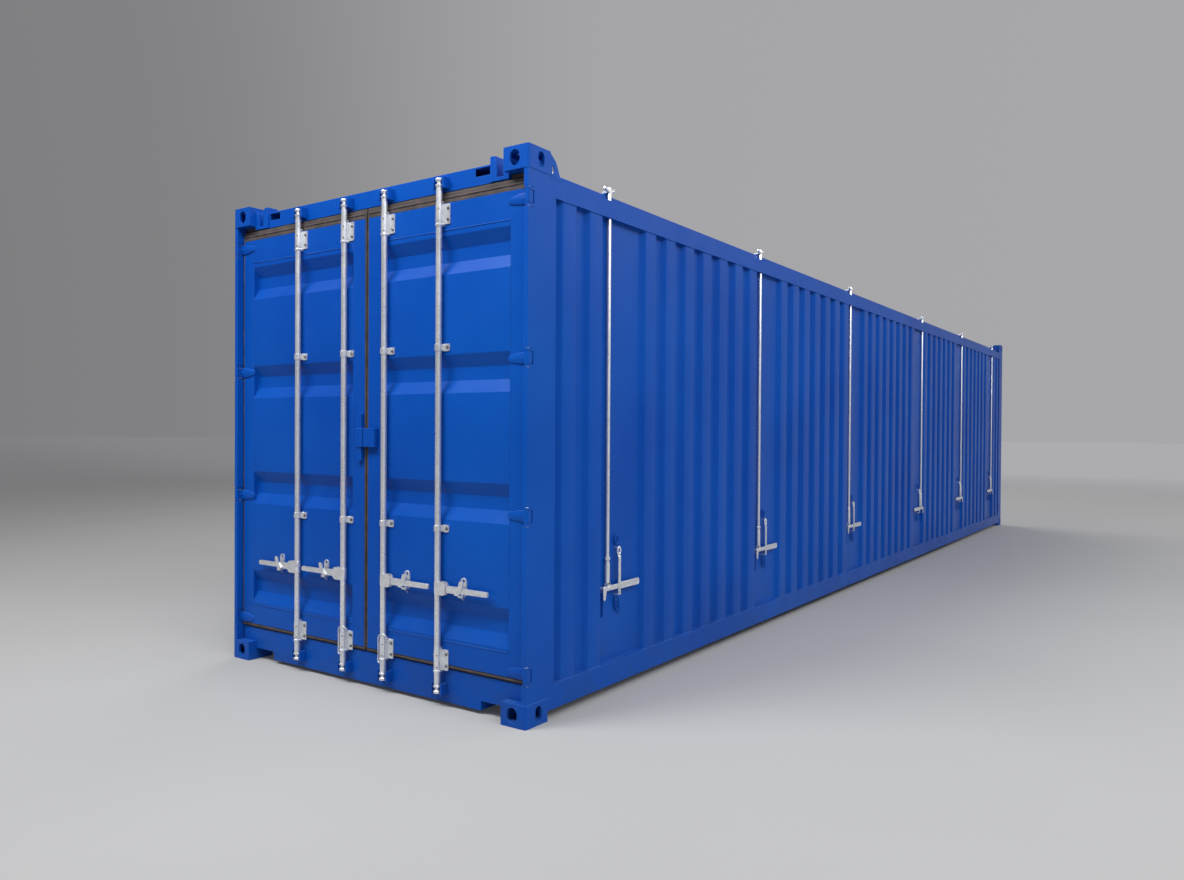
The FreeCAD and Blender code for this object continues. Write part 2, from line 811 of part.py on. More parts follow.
def bar_guide(x, low, high):
    """A shell around a lock bar with a flange beside it on the door's face."""
    shell = rod(guide_r, (x, bar_y, low), (0, 0, 1), high - low)
    back = box(x - guide_r, x + guide_r, bar_y, door_face, low, high)
    inset = min(guide_flange_inset, (high - low) / 6)
    z1 = min(high - inset, door_z[1] - clearance)
    flange = box(x, x + guide_flange, door_face - guide_flange_t, door_face, low + inset, z1)
    whole = shell.fuse([back, flange]).removeSplitter()
    return whole.cut(rod(bar_r + bar_gap, (x, bar_y, low - past), (0, 0, 1), high - low + 2 * past))


def handle_catch(x):
    """The oval plate behind a handle, with a ledge under the handle."""
    a = x + catch_at
    middle = (a, door_face - catch_t, handle_z + catch_rise)
    plate = slot(catch_l, catch_w, middle, (0, 1, 0), (0, 0, 1), catch_t)
    top = handle_z - handle_h / 2 - ledge_h
    ledge = box(a - ledge_half, a + ledge_half, door_face - ledge_reach, door_face, top - ledge_h, top)
    return plate.fuse(ledge).removeSplitter()


def centre_box(x0, x1):
    """Half of the raised box over the doors' meeting edges."""
    y0 = door_face - centre_box_t
    z0, z1 = centre_box_z
    across, deep = centre_box_bevel
    outline = [(x0, door_face), (x0, y0), (x1 - across, y0), (x1, door_face - deep), (x1, door_face)]
    return prism([(x, y, z0) for x, y in outline], (0, 0, z1 - z0))


def centre_bracket():
    """The upright bar that the left half of the raised box is fixed on."""
    return box(*bracket_x, door_face - bracket_t, door_face, *bracket_z)


# ------------------------------------------------------------------ lock bars

def cam(x, low):
    """A cam with two flanges and a narrow waist, turning between a keeper's cheeks."""
    whole = square(x, cam_half, low, low + cam_flange_h)
    waist = square(x, cam_waist_half, low, low + cam_h)
    upper = square(x, cam_half, low + cam_h - cam_flange_h, low + cam_h)
    return whole.fuse([waist, upper])


def square(x, half, low, high):
    """A square block on a lock bar's centre line."""
    return box(x - half, x + half, bar_y - half, bar_y + half, low, high)


def lock_bar(x):
    """A bar with a cam at each end and the hub that holds its handle."""
    low, high = bar_z
    bar = rod(bar_r, (x, bar_y, low), (0, 0, 1), high - low)
    z0, z1 = handle_z - hub_h / 2, handle_z + hub_h / 2
    collar = rod(bar_r + collar_wall, (x, bar_y, z0), (0, 0, 1), hub_h)
    hub = box(x, x + hub_reach, bar_y - hub_front, bar_y + hub_back, z0, z1)
    cams = [cam(x, low - cam_h + cam_overlap), cam(x, high - cam_overlap)]
    return bar.fuse([collar, hub] + cams).removeSplitter()


def lock_handle(x):
    """A flat handle out of the hub, with the flap that lies across it."""
    y1 = bar_y - handle_inset
    y0 = y1 - handle_t
    low, high = handle_z - handle_h / 2, handle_z + handle_h / 2
    bar = box(x + hub_reach, x + handle_reach, y0, y1, low, high)
    a = x + catch_at
    foot = low - flap_below
    outline = [(a - flap_foot[0], foot), (a - flap_foot[1], foot)]
    outline += [(a + flap_top[0], high + flap_above[0]), (a + flap_top[1], high + flap_above[1])]
    flap = prism([(u, y0 - flap_t, z) for u, z in outline], (0, flap_t, 0))
    return bar.fuse(flap).removeSplitter()


def cam_keeper(x, low):
    """A base on the sill or header with a cheek on each side of a cam, open in front."""
    back = -half_l + sill_face
    inner = cam_half * math.sqrt(2) + 2 * clearance
    outer = inner + keeper_wall
    z0, z1 = low - keeper_margin, low + cam_h + keeper_margin
    base = box(x - outer, x + outer, back - keeper_base, back, z0, z1)
    cheeks = []
    for a in (x - outer, x + inner):
        cheeks.append(box(a, a + keeper_wall, bar_y - keeper_front, back, z0, z1))
    return base.fuse(cheeks).removeSplitter()


def cam_keepers():
    out = []
    for x in bar_x:
        out.append(cam_keeper(x, bar_z[0] - cam_h + cam_overlap))
        out.append(cam_keeper(x, bar_z[1] - cam_overlap))
    return both_sides(out)


# ------------------------------------------------------------------ nodes

save("bottom_castings", bottom_castings())
save("top_castings", top_castings())
save("rear_posts", both_sides([rear_post()]))
save("post_hinges", both_sides([post_hinge(z) for z in hinge_z]))
save("front_posts", both_sides([front_post()]))
save("casting_gussets", both_ends(both_sides([casting_gusset()])))
save("rear_sill", [rear_sill()])
save("front_sill", [front_sill()])
save("rear_header", [rear_header()])
save("header_fittings", header_fittings())
save("corner_seals", corner_seals())
save("front_header", [front_header()])
save("bottom_side_rails", both_sides([bottom_side_rail()]))
save("top_side_rails", both_sides([top_side_rail()]))
save("right_side_wall", [side_wall()])
save("left_side_wall", [mirror_x(side_wall())])
save("front_wall", [front_wall()])
save("cross_members", cross_members())
save("floor", [floor_deck()])
save("roof_seal", roof_seal())
save("roof_panels", roof_panels())
save("roof_cleats", both_sides([roof_cleat(y) for y, _ in rod_places()]))
save("roof_lock_rods", both_sides([roof_lock_rod(y) for y, _ in rod_places()]))
save("roof_lock_levers", both_sides([roof_lock_lever(y, way) for y, way in rod_places()]))
save("lever_straps", both_sides([lever_strap(y, way) for y, way in rod_places()]))
save("cam_keepers", cam_keepers())

door_parts = {
    "door_frame": [door_frame()],
    "door_panel": [door_panel()],
    "door_seal": [door_seal()],
    "hinge_blades": [hinge_blade(z) for z in hinge_z],
    "handle_catches": [handle_catch(x) for x in bar_x],
}
for name, shapes in door_parts.items():
    save("right_" + name, shapes)
    save("left_" + name, [mirror_x(s) for s in shapes])
for side, sign in (("right_", 1), ("left_", -1)):
    save(side + "bar_guides", [bar_guide(sign * x, low, high) for x in bar_x for low, high in guide_z])
save("right_centre_box", [centre_box(seal_centre_x, centre_box_right)])
left_box = centre_box(seal_centre_x, centre_box_left).fuse(centre_bracket()).removeSplitter()
save("left_centre_box", [mirror_x(left_box)])

for place, x in zip(("outer", "inner"), bar_x):
    save("right_" + place + "_lock_bar", [lock_bar(x)])
    save("right_" + place + "_handle", [lock_handle(x)])
    save("left_" + place + "_lock_bar", [mirror_x(lock_bar(x))])
    save("left_" + place + "_handle", [mirror_x(lock_handle(x))])
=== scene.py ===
"""Looks for the forty-foot container with a lift-off roof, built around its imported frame.

Metres. +Z is up, the doors are at -Y, and the right side is +X.
"""
import json
import math
import random

import bmesh
import bpy
from mathutils import Matrix, Vector

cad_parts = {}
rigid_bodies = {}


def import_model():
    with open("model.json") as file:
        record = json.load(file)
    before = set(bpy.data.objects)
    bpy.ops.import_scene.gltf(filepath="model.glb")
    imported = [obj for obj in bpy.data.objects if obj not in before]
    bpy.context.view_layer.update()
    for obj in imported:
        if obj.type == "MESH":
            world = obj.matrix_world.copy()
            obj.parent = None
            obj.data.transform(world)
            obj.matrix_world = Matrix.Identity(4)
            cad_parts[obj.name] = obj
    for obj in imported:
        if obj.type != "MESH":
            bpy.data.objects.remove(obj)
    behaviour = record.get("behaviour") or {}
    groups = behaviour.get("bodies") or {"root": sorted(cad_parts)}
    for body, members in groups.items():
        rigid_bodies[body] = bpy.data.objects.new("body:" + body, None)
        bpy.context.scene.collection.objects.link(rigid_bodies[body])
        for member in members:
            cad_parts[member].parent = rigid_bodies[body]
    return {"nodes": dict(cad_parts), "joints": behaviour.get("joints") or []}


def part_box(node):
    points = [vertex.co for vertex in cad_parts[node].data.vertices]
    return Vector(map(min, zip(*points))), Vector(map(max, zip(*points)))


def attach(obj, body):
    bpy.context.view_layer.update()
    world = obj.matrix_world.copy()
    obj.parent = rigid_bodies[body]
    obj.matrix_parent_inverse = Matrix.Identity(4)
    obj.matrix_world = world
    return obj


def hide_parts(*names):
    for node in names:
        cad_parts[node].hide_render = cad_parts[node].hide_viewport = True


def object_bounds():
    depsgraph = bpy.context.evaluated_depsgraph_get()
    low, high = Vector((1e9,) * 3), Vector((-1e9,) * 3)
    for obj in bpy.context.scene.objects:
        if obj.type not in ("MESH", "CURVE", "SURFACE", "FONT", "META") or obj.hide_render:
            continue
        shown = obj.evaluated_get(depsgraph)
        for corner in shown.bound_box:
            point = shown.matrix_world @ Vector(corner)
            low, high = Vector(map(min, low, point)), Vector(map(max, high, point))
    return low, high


for leftover in list(bpy.data.objects):
    bpy.data.objects.remove(leftover)
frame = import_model()
cad_low, cad_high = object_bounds()
nodes = frame["nodes"]

X = Vector((1, 0, 0))
Y = Vector((0, 1, 0))
Z = Vector((0, 0, 1))

# ---- sizes shared with the frame
SHEET = 0.002
ROD_INSET = 0.020
ROD_R = 0.011
BAR_R = 0.017
CAM_R = 0.021
GUIDE_R = 0.0215
KNUCKLE_R = 0.014
PIN_R = 0.008
CASTING_H = 0.118
HANDLE_Z = 0.640

# ---- finish
SHARP = math.radians(38)
WELD_STEP = 0.009
PANEL_BEND = 0.010
DOOR_BEND = 0.008
WELD_IN = 0.001
BORE_GAP = 0.0006
CAM_H = 0.044
CATCH_REACH = 0.172
BOARD_ROWS = 5
BOARD_GAP = 0.003
SCREWS_A_ROW = 10

ROOT = "container"
PAINT = "blue_paint"
STEEL = "galvanised_steel"
SIDES = (("right", 1), ("left", -1))
LOCK_BARS = [(side, sign, side + "_" + rank) for side, sign in SIDES for rank in ("outer", "inner")]

# ---- the eye, fitted to the photograph
EYE = (3.969, -9.496, 1.483)
LOOKING = Vector((-0.5704, 0.8213, -0.0104)).normalized()
RIGHTWARD = Vector((0.8213, 0.5704, 0.0061))
FOCAL_MM = 26.98


# ------------------------------------------------------------------ materials

def new_material(name):
    """A node material: its shader and a function that adds a node and sets its inputs by name."""
    material = bpy.data.materials.new("finish_" + name)
    material.use_nodes = True
    tree = material.node_tree
    shader = tree.nodes["Principled BSDF"]

    def add(kind, links=None, **values):
        node = tree.nodes.new(kind)
        for key, value in values.items():
            if key in node.inputs:
                node.inputs[key].default_value = value
            else:
                setattr(node, key, value)
        for key, source in (links or {}).items():
            tree.links.new(source, node.inputs[key])
        return node

    return material, shader, add


def noise(add, where, scale, detail=4.0, rough=0.55):
    """Fractal noise from 0 to 1 at a scale in cycles a metre."""
    node = add("ShaderNodeTexNoise", {"Vector": where}, Scale=scale, Detail=detail, Roughness=rough)
    return node.outputs[0]


def remap(add, value, low, high, start=0.0, end=1.0):
    """A value taken from one range to another, and kept inside it."""
    node = add("ShaderNodeMapRange", {0: value})
    for i, number in enumerate((low, high, start, end)):
        node.inputs[i + 1].default_value = number
    return node.outputs[0]


def blend_colour(add, factor, first, second):
    """A mix of two colours, each a constant or a socket."""
    node = add("ShaderNodeMix", {0: factor}, data_type="RGBA")
    for place, colour in ((6, first), (7, second)):
        if isinstance(colour, tuple):
            node.inputs[place].default_value = (*colour, 1.0)
        else:
            node.id_data.links.new(colour, node.inputs[place])
    return node.outputs[2]


def product(add, a, b):
    """One socket times another, or times a number."""
    node = add("ShaderNodeMath", {0: a}, operation="MULTIPLY")
    if isinstance(b, float):
        node.inputs[1].default_value = b
    else:
        node.id_data.links.new(b, node.inputs[1])
    return node.outputs[0]


def stretched(add, where, scale):
    """A place multiplied by its own number on each axis."""
    node = add("ShaderNodeVectorMath", {0: where}, operation="MULTIPLY", **{"Vector_001": scale})
    return node.outputs[0]


def bumps(add, shader, layers):
    """Bump layers of (height, depth in metres), one on the other."""
    normal = None
    for height, depth in layers:
        links = {"Height": height}
        if normal:
            links["Normal"] = normal
        normal = add("ShaderNodeBump", links, Strength=1.0, Distance=depth).outputs[0]
    shader.id_data.links.new(normal, shader.inputs["Normal"])


def connect(shader, socket, source):
    shader.id_data.links.new(source, shader.inputs[socket])


def paint():
    """Blue paint: slightly uneven and dusty where it faces up, darker near the ground with painted shade, and
    lighter along edges with a painted highlight broken up like wear.
    """
    material, shader, add = new_material("blue_paint")
    where = add("ShaderNodeTexCoord").outputs["Object"]
    place = add("ShaderNodeSeparateXYZ", {0: where})
    geometry = add("ShaderNodeNewGeometry")
    faces = add("ShaderNodeSeparateXYZ", {0: geometry.outputs["Normal"]})
    patches = noise(add, where, 0.9)
    cloud = noise(add, where, 7.0)
    streaks = noise(add, stretched(add, where, (22.0, 22.0, 0.7)), 1.0, 5.0)
    deep, bright = (0.0010, 0.060, 0.365), (0.0022, 0.084, 0.440)
    colour = blend_colour(add, remap(add, patches, 0.3, 0.7), deep, bright)
    washed = remap(add, streaks, 0.55, 0.8, 0.0, 0.16)
    colour = blend_colour(add, washed, colour, (0.004, 0.085, 0.38))
    upward = remap(add, faces.outputs["Z"], 0.35, 0.95)
    dust = product(add, product(add, upward, remap(add, cloud, 0.3, 0.75)), 0.26)
    colour = blend_colour(add, dust, colour, (0.10, 0.20, 0.38))
    # painted shade: the blue is darkened towards the ground
    near_ground = remap(add, place.outputs["Z"], 0.5, 0.0)
    low_painted_shade = product(add, product(add, near_ground, remap(add, cloud, 0.35, 0.7)), 0.35)
    colour = blend_colour(add, low_painted_shade, colour, (0.030, 0.055, 0.16))
    # painted highlight: edges are lightened to a paler blue, broken up by noise like chipped wear
    soft = add("ShaderNodeBevel", Radius=0.004, samples=4)
    normals = {0: soft.outputs[0], 1: geometry.outputs["Normal"]}
    flatness = add("ShaderNodeVectorMath", normals, operation="DOT_PRODUCT")
    edge = remap(add, flatness.outputs["Value"], 0.985, 0.88)
    chipped_edge_highlight = product(add, edge, remap(add, noise(add, where, 45.0, 6.0, 0.7), 0.35, 0.66, 0.25, 1.0))
    colour = blend_colour(add, product(add, chipped_edge_highlight, 0.6), colour, (0.055, 0.19, 0.56))
    connect(shader, "Base Color", colour)
    rough = remap(add, cloud, 0.25, 0.75, 0.30, 0.42)
    dusty = add("ShaderNodeMath", {0: rough, 1: dust}, operation="ADD")
    connect(shader, "Roughness", dusty.outputs[0])
    shader.inputs["IOR"].default_value = 1.22
    waves = noise(add, where, 2.2, 2.0)
    peel = noise(add, where, 380.0, 2.0)
    bumps(add, shader, [(waves, 0.004), (peel, 0.00012)])
    return material


def zinc(name, light, dark, spangle, metallic):
    """Galvanised steel: crystal spangle, duller patches and fine drawn lines."""
    material, shader, add = new_material(name)
    where = add("ShaderNodeTexCoord").outputs["Object"]
    cells = add("ShaderNodeTexVoronoi", {"Vector": where}, Scale=spangle).outputs["Color"]
    cell = add("ShaderNodeSeparateColor", {0: cells}).outputs[0]
    patches = noise(add, where, 9.0, 5.0)
    lines = noise(add, stretched(add, where, (260.0, 260.0, 9.0)), 1.0, 3.0)
    parts = {0: product(add, cell, 0.55), 1: product(add, patches, 0.75)}
    share = add("ShaderNodeMath", parts, operation="ADD")
    colour = blend_colour(add, remap(add, share.outputs[0], 0.25, 0.9), light, dark)
    connect(shader, "Base Color", colour)
    shader.inputs["Metallic"].default_value = metallic
    connect(shader, "Roughness", remap(add, patches, 0.3, 0.7, 0.24, 0.44))
    bumps(add, shader, [(cell, 0.00003), (lines, 0.00005)])
    return material


def rubber():
    """Brown-grey door rubber with a dusty bloom and fine pitting."""
    material, shader, add = new_material("rubber")
    where = add("ShaderNodeTexCoord").outputs["Object"]
    bloom = noise(add, where, 14.0, 6.0)
    dark, dusty = (0.040, 0.030, 0.029), (0.100, 0.076, 0.072)
    colour = blend_colour(add, remap(add, bloom, 0.35, 0.75), dark, dusty)
    connect(shader, "Base Color", colour)
    connect(shader, "Roughness", remap(add, bloom, 0.3, 0.7, 0.55, 0.8))
    bumps(add, shader, [(noise(add, where, 220.0, 3.0), 0.0003)])
    return material


def plywood():
    """Sealed marine plywood with grain along the container."""
    material, shader, add = new_material("plywood")
    where = add("ShaderNodeTexCoord").outputs["Object"]
    grain = noise(add, stretched(add, where, (34.0, 1.6, 34.0)), 1.0, 6.0, 0.6)
    fibre = noise(add, stretched(add, where, (420.0, 9.0, 420.0)), 1.0, 3.0)
    scuffs = noise(add, where, 3.0, 6.0, 0.7)
    colour = blend_colour(add, remap(add, grain, 0.3, 0.7), (0.17, 0.085, 0.042), (0.33, 0.19, 0.10))
    colour = blend_colour(add, remap(add, scuffs, 0.5, 0.8, 0.0, 0.5), colour, (0.20, 0.16, 0.13))
    connect(shader, "Base Color", colour)
    connect(shader, "Roughness", remap(add, scuffs, 0.3, 0.7, 0.42, 0.68))
    bumps(add, shader, [(grain, 0.0006), (fibre, 0.00025)])
    return material


FINISH = {
    "blue_paint": paint(),
    "galvanised_steel": zinc("galvanised_steel", (0.90, 0.91, 0.93), (0.72, 0.75, 0.79), 110.0, 0.78),
    "bolt_steel": zinc("bolt_steel", (0.34, 0.34, 0.35), (0.15, 0.15, 0.16), 160.0, 0.85),
    "rubber": rubber(),
    "plywood": plywood(),
}


# ------------------------------------------------------------------ building meshes

def piece(name, shape, body, finish, bevel=0.0):
    """Make an object from a bmesh, with its finish, riding on a body of the frame."""
    bmesh.ops.recalc_face_normals(shape, faces=shape.faces)
    mesh = bpy.data.meshes.new(name)
    shape.to_mesh(mesh)
    shape.free()
    mesh.shade_smooth()
    mesh.set_sharp_from_angle(angle=SHARP)
    mesh.materials.append(FINISH[finish])
    made = bpy.data.objects.new(name, mesh)
    bpy.context.scene.collection.objects.link(made)
    if bevel:
        round_edges(made, bevel)
    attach(made, body)
    return made


def round_edges(thing, wide, angle=SHARP):
    edges = thing.modifiers.new("rounded_edges", "BEVEL")
    edges.width = wide
    edges.segments = 2
    edges.limit_method = "ANGLE"
    edges.angle_limit = angle
    edges.harden_normals = True


def loft(shape, rings, loop=False):
    """Skin closed rings of equally many points, with flat ends unless the last joins the first."""
    rows = [[shape.verts.new(p) for p in ring] for ring in rings]
    pairs = list(zip(rows, rows[1:]))
    if loop:
        pairs.append((rows[-1], rows[0]))
    for a, b in pairs:
        for i in range(len(a)):
            j = (i + 1) % len(a)
            shape.faces.new((a[i], a[j], b[j], b[i]))
    if not loop:
        shape.faces.new(rows[0][::-1])
        shape.faces.new(rows[-1])


def across(axis):
    """Two unit vectors square to an axis and to each other."""
    axis = Vector(axis).normalized()
    u = axis.cross(Z if abs(axis.z) < 0.9 else X).normalized()
    return u, axis.cross(u)


def oval(middle, u, v, half_u, half_v, sides=24):
    """Points round an ellipse."""
    turns = [2 * math.pi * k / sides for k in range(sides)]
    return [Vector(middle) + u * (half_u * math.cos(t)) + v * (half_v * math.sin(t)) for t in turns]


def circle(middle, u, v, radius, sides):
    return oval(middle, u, v, radius, radius, sides)


def lathe(shape, base, axis, profile, sides=24):
    """A turned piece: profile is (radius, distance along the axis), from end to end."""
    axis = Vector(axis).normalized()
    u, v = across(axis)
    loft(shape, [circle(Vector(base) + axis * h, u, v, r, sides) for r, h in profile])


def prism(shape, outline, push):
    """A solid pushed from a flat outline of points."""
    loft(shape, [[Vector(p) for p in outline], [Vector(p) + Vector(push) for p in outline]])


def block(shape, one, other):
    """A box between two opposite corners, given in any order."""
    (x0, x1), (y0, y1), (z0, z1) = (sorted(pair) for pair in zip(one, other))
    prism(shape, [(x0, y0, z0), (x1, y0, z0), (x1, y1, z0), (x0, y1, z0)], (0, 0, z1 - z0))


def tube(shape, points, radius, sides=8, loop=False):
    """A round tube along points; radius is one number or one for each point."""
    points = [Vector(p) for p in points]
    count = len(points)
    radii = radius if isinstance(radius, list) else [radius] * count
    rings = []
    u = None
    for i, point in enumerate(points):
        before = points[i - 1] if i or loop else point
        after = points[(i + 1) % count] if i < count - 1 or loop else point
        along = (after - before).normalized()
        if u is None:
            u = across(along)[0]
        u = (u - along * u.dot(along)).normalized()
        rings.append(circle(point, u, along.cross(u), radii[i], sides))
    loft(shape, rings, loop)


def stadium(middle, u, v, long, wide, steps=10):
    """Points round a slot with round ends, long along u."""
    r = wide / 2
    reach = long / 2 - r
    points = []
    for side, start in ((1, -math.pi / 2), (-1, math.pi / 2)):
        for k in range(steps + 1):
            t = start + math.pi * k / steps
            points.append(Vector(middle) + u * (side * reach + r * math.cos(t)) + v * (r * math.sin(t)))
    return points


def rounded_box_outline(middle, u, v, long, tall, radius, steps=4):
    """Points round a rectangle with rounded corners."""
    points = []
    corners = ((1, 1, 0), (-1, 1, 1), (-1, -1, 2), (1, -1, 3))
    for su, sv, quarter in corners:
        cu = su * (long / 2 - radius)
        cv = sv * (tall / 2 - radius)
        for k in range(steps + 1):
            t = (quarter + k / steps) * math.pi / 2
            points.append(Vector(middle) + u * (cu + radius * math.cos(t))
                          + v * (cv + radius * math.sin(t)))
    return points


def mirrored(half):
    """A closed outline from its first half, mirrored across its long axis."""
    return half + [(a, -b) for a, b in reversed(half)]


def drawn(outline, x, sign, y, z):
    """An outline of (outward, up) pairs drawn from a point in the doors' plane."""
    return [Vector((x + sign * a, y, z + b)) for a, b in outline]


def bolt(shape, place, axis, size=0.012):
    """A hexagon head on a washer; size is across its corners."""
    lathe(shape, place, axis, [(size * 0.72, 0.0), (size * 0.72, size * 0.12)], 14)
    head = [(size * 0.5, size * 0.12), (size * 0.5, size * 0.5), (size * 0.4, size * 0.6)]
    lathe(shape, place, axis, head, 6)


def rivet(shape, place, axis, size=0.010):
    """A low domed head."""
    dome = ((0.5, 0.0), (0.46, 0.16), (0.3, 0.3), (0.1, 0.36))
    lathe(shape, place, axis, [(size * r, size * h) for r, h in dome], 10)


def bead(shape, points, radius, rng, sides=6):
    """A weld bead: a lumpy tube along straight runs."""
    path = []
    for a, b in zip(points, points[1:]):
        a, b = Vector(a), Vector(b)
        count = max(1, round((b - a).length / WELD_STEP))
        path += [a.lerp(b, k / count) for k in range(count)]
    path.append(Vector(points[-1]))
    radii = [radius * (0.82 + 0.36 * rng.random()) for _ in path]
    tube(shape, path, radii, sides)


def solids(node):
    """The low and high corners of each separate solid of a CAD node, sorted by y, then x, then z."""
    shape = bmesh.new()
    shape.from_mesh(nodes[node].data)
    bmesh.ops.remove_doubles(shape, verts=shape.verts, dist=1e-5)
    seen = set()
    found = []
    for first in shape.verts:
        if first in seen:
            continue
        seen.add(first)
        stack = [first]
        points = []
        while stack:
            vert = stack.pop()
            points.append(vert.co.copy())
            for edge in vert.link_edges:
                other = edge.other_vert(vert)
                if other not in seen:
                    seen.add(other)
                    stack.append(other)
        found.append((Vector(map(min, zip(*points))), Vector(map(max, zip(*points)))))
    shape.free()
    return sorted(found, key=lambda b: [round(c, 3) for c in (b[0].y, b[0].x, b[0].z)])


def pivot(body):
    """Where a body's hinge is, in plan."""
    joint = next(j for j in frame["joints"] if j["child"] == body)
    return Vector((joint["pos_m"][0], joint["pos_m"][1], 0))


def outward(low):
    """+1 on the right side of the container, -1 on the left."""
    return 1 if low.x > 0 else -1


def sided(low, high):
    """The side that a piece is on, its outer x and its inner x."""
    return (1, high.x, low.x) if low.x > 0 else (-1, low.x, high.x)


# ------------------------------------------------------------------ the frame's own pieces

def clean_tree():
    """Geometry nodes that join split vertices and drop the imported normals."""
    tree = bpy.data.node_groups.new("clean", "GeometryNodeTree")
    tree.interface.new_socket("Geometry", in_out="INPUT", socket_type="NodeSocketGeometry")
    tree.interface.new_socket("Geometry", in_out="OUTPUT", socket_type="NodeSocketGeometry")
    start = tree.nodes.new("NodeGroupInput")
    drop = tree.nodes.new("GeometryNodeRemoveAttribute")
    drop.inputs["Name"].default_value = "custom_normal"
    join = tree.nodes.new("GeometryNodeMergeByDistance")
    join.inputs["Distance"].default_value = 1e-5
    smooth = tree.nodes.new("GeometryNodeSetShadeSmooth")
    end = tree.nodes.new("NodeGroupOutput")
    chain = [start, drop, join, smooth, end]
    for a, b in zip(chain, chain[1:]):
        tree.links.new(a.outputs[0], b.inputs[0])
    return tree


def finish_frame(edges):
    """Give every CAD node its finish, and round its edges by the width listed for it."""
    tree = clean_tree()
    for name, thing in nodes.items():
        slot = thing.data.materials[0].name.split(".")[0]
        thing.material_slots[0].material = FINISH[slot]
        if name not in edges:
            continue
        thing.modifiers.new("clean", "NODES").node_group = tree
        flat = thing.modifiers.new("flat_faces", "DECIMATE")
        flat.decimate_type = "DISSOLVE"
        flat.angle_limit = math.radians(0.5)
        round_edges(thing, edges[name], math.radians(32))


# ------------------------------------------------------------------ pressed sheets

def pressed_corners(node, along, deep, way):
    """Corners (along, depth) of a pressed sheet's outer face, read from its CAD node."""
    low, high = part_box(node)
    depth = high[deep] - low[deep] - SHEET
    face = high[deep] if way < 0 else low[deep]
    found = set()
    for vert in nodes[node].data.vertices:
        d = way * (vert.co[deep] - face)
        if min(abs(d), abs(d - depth)) < SHEET / 4:
            found.add((round(vert.co[along], 4), 0.0 if d < depth / 2 else depth))
    return sorted(found)


def bend_corners(points, radius, steps=3):
    """A polyline with every inner corner turned into an arc."""
    out = [Vector(points[0])]
    for a, b, c in zip(points, points[1:], points[2:]):
        a, b, c = Vector(a), Vector(b), Vector(c)
        before, after = (a - b).normalized(), (c - b).normalized()
        turn = math.pi - before.angle(after)
        if turn < 0.02:
            out.append(b)
            continue
        reach = min(radius * math.tan(turn / 2), (a - b).length * 0.45, (c - b).length * 0.45)
        arc_r = reach / math.tan(turn / 2)
        middle = b + (before + after).normalized() * (arc_r / math.cos(turn / 2))
        first, last = b + before * reach - middle, b + after * reach - middle
        for k in range(steps + 1):
            out.append(middle + first.slerp(last, k / steps) * arc_r)
    out.append(Vector(points[-1]))
    return out


def sheet_mesh(line, low, high, place):
    """A thin bent sheet: line is its outer face as (along, depth), place puts (along, depth, height)."""
    shape = bmesh.new()
    rings = []
    for i, point in enumerate(line):
        before, after = line[max(i - 1, 0)], line[min(i + 1, len(line) - 1)]
        run = (after - before).normalized()
        inner = point + Vector((-run.y, run.x)) * SHEET
        rings.append([place(*point, low), place(*inner, low), place(*inner, high), place(*point, high)])
    loft(shape, rings)
    return shape


def pressed_wall(node, name, axes, way, place, seed):
    """A pressed wall sheet with soft bends, and the welds along its lower and upper edges."""
    low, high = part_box(node)
    line = bend_corners(pressed_corners(node, *axes, way), PANEL_BEND)
    made = piece(name + "_sheet", sheet_mesh(line, low.z, high.z, place), ROOT, PAINT)
    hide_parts(node)
    welds = bmesh.new()
    rng = random.Random(seed)
    for z in (low.z + WELD_IN, high.z - WELD_IN):
        bead(welds, [place(p.x, p.y - WELD_IN, z) for p in line], 0.0034, rng, 5)
    piece(name + "_welds", welds, ROOT, PAINT)


def side_walls():
    for (side, sign), seed in zip(SIDES, (7, 8)):
        node = side + "_side_wall"
        face = sided(*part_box(node))[1]

        def place(y, depth, z):
            return Vector((face - sign * depth, y, z))

        pressed_wall(node, side + "_wall", (1, 0), -sign, place, seed)


def front_wall():
    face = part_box("front_wall")[1].y

    def place(x, depth, z):
        return Vector((x, face - depth, z))

    pressed_wall("front_wall", "front_wall", (0, 1), -1, place, 9)


def door_panels():
    """Door sheets with crosswise recesses, welded into their frames."""
    for side, _ in SIDES:
        node = side + "_door_panel"
        low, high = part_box(node)
        line = bend_corners(pressed_corners(node, 2, 1, 1), DOOR_BEND)

        def place(z, depth, x):
            return Vector((x, low.y + depth, z))

        sheet = sheet_mesh(line, low.x, high.x, place)
        made = piece(side + "_door_sheet", sheet, side + "_door", PAINT)
        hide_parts(node)
        welds = bmesh.new()
        rng = random.Random(11)
        for z in (low.z, high.z):
            bead(welds, [(low.x, low.y - 0.0005, z), (high.x, low.y - 0.0005, z)], 0.0028, rng)
        for x in (low.x, high.x):
            bead(welds, [place(p.x, p.y - 0.0005, x) for p in line], 0.0022, rng, 5)
        piece(side + "_door_welds", welds, side + "_door", PAINT)


# ------------------------------------------------------------------ door gear

def sleeve(shape, middle, back, hole, levels):
    """A saddle round an upright bar, flat at its back: levels are (height, outer radius)."""
    sides = 32
    turns = [2 * math.pi * k / sides for k in range(sides)]

    def reach(t, r):
        if math.sin(t) <= 0:
            return r
        return min(r / max(abs(math.cos(t)), 1e-6), back / math.sin(t))

    rings = []
    for z, r in levels:
        spans = [(t, reach(t, r)) for t in turns]
        rings.append([Vector((middle.x + s * math.cos(t), middle.y + s * math.sin(t), z)) for t, s in spans])
    for z in (levels[-1][0], levels[0][0]):
        rings.append(circle((middle.x, middle.y, z), X, Y, hole, sides))
    loft(shape, rings, loop=True)


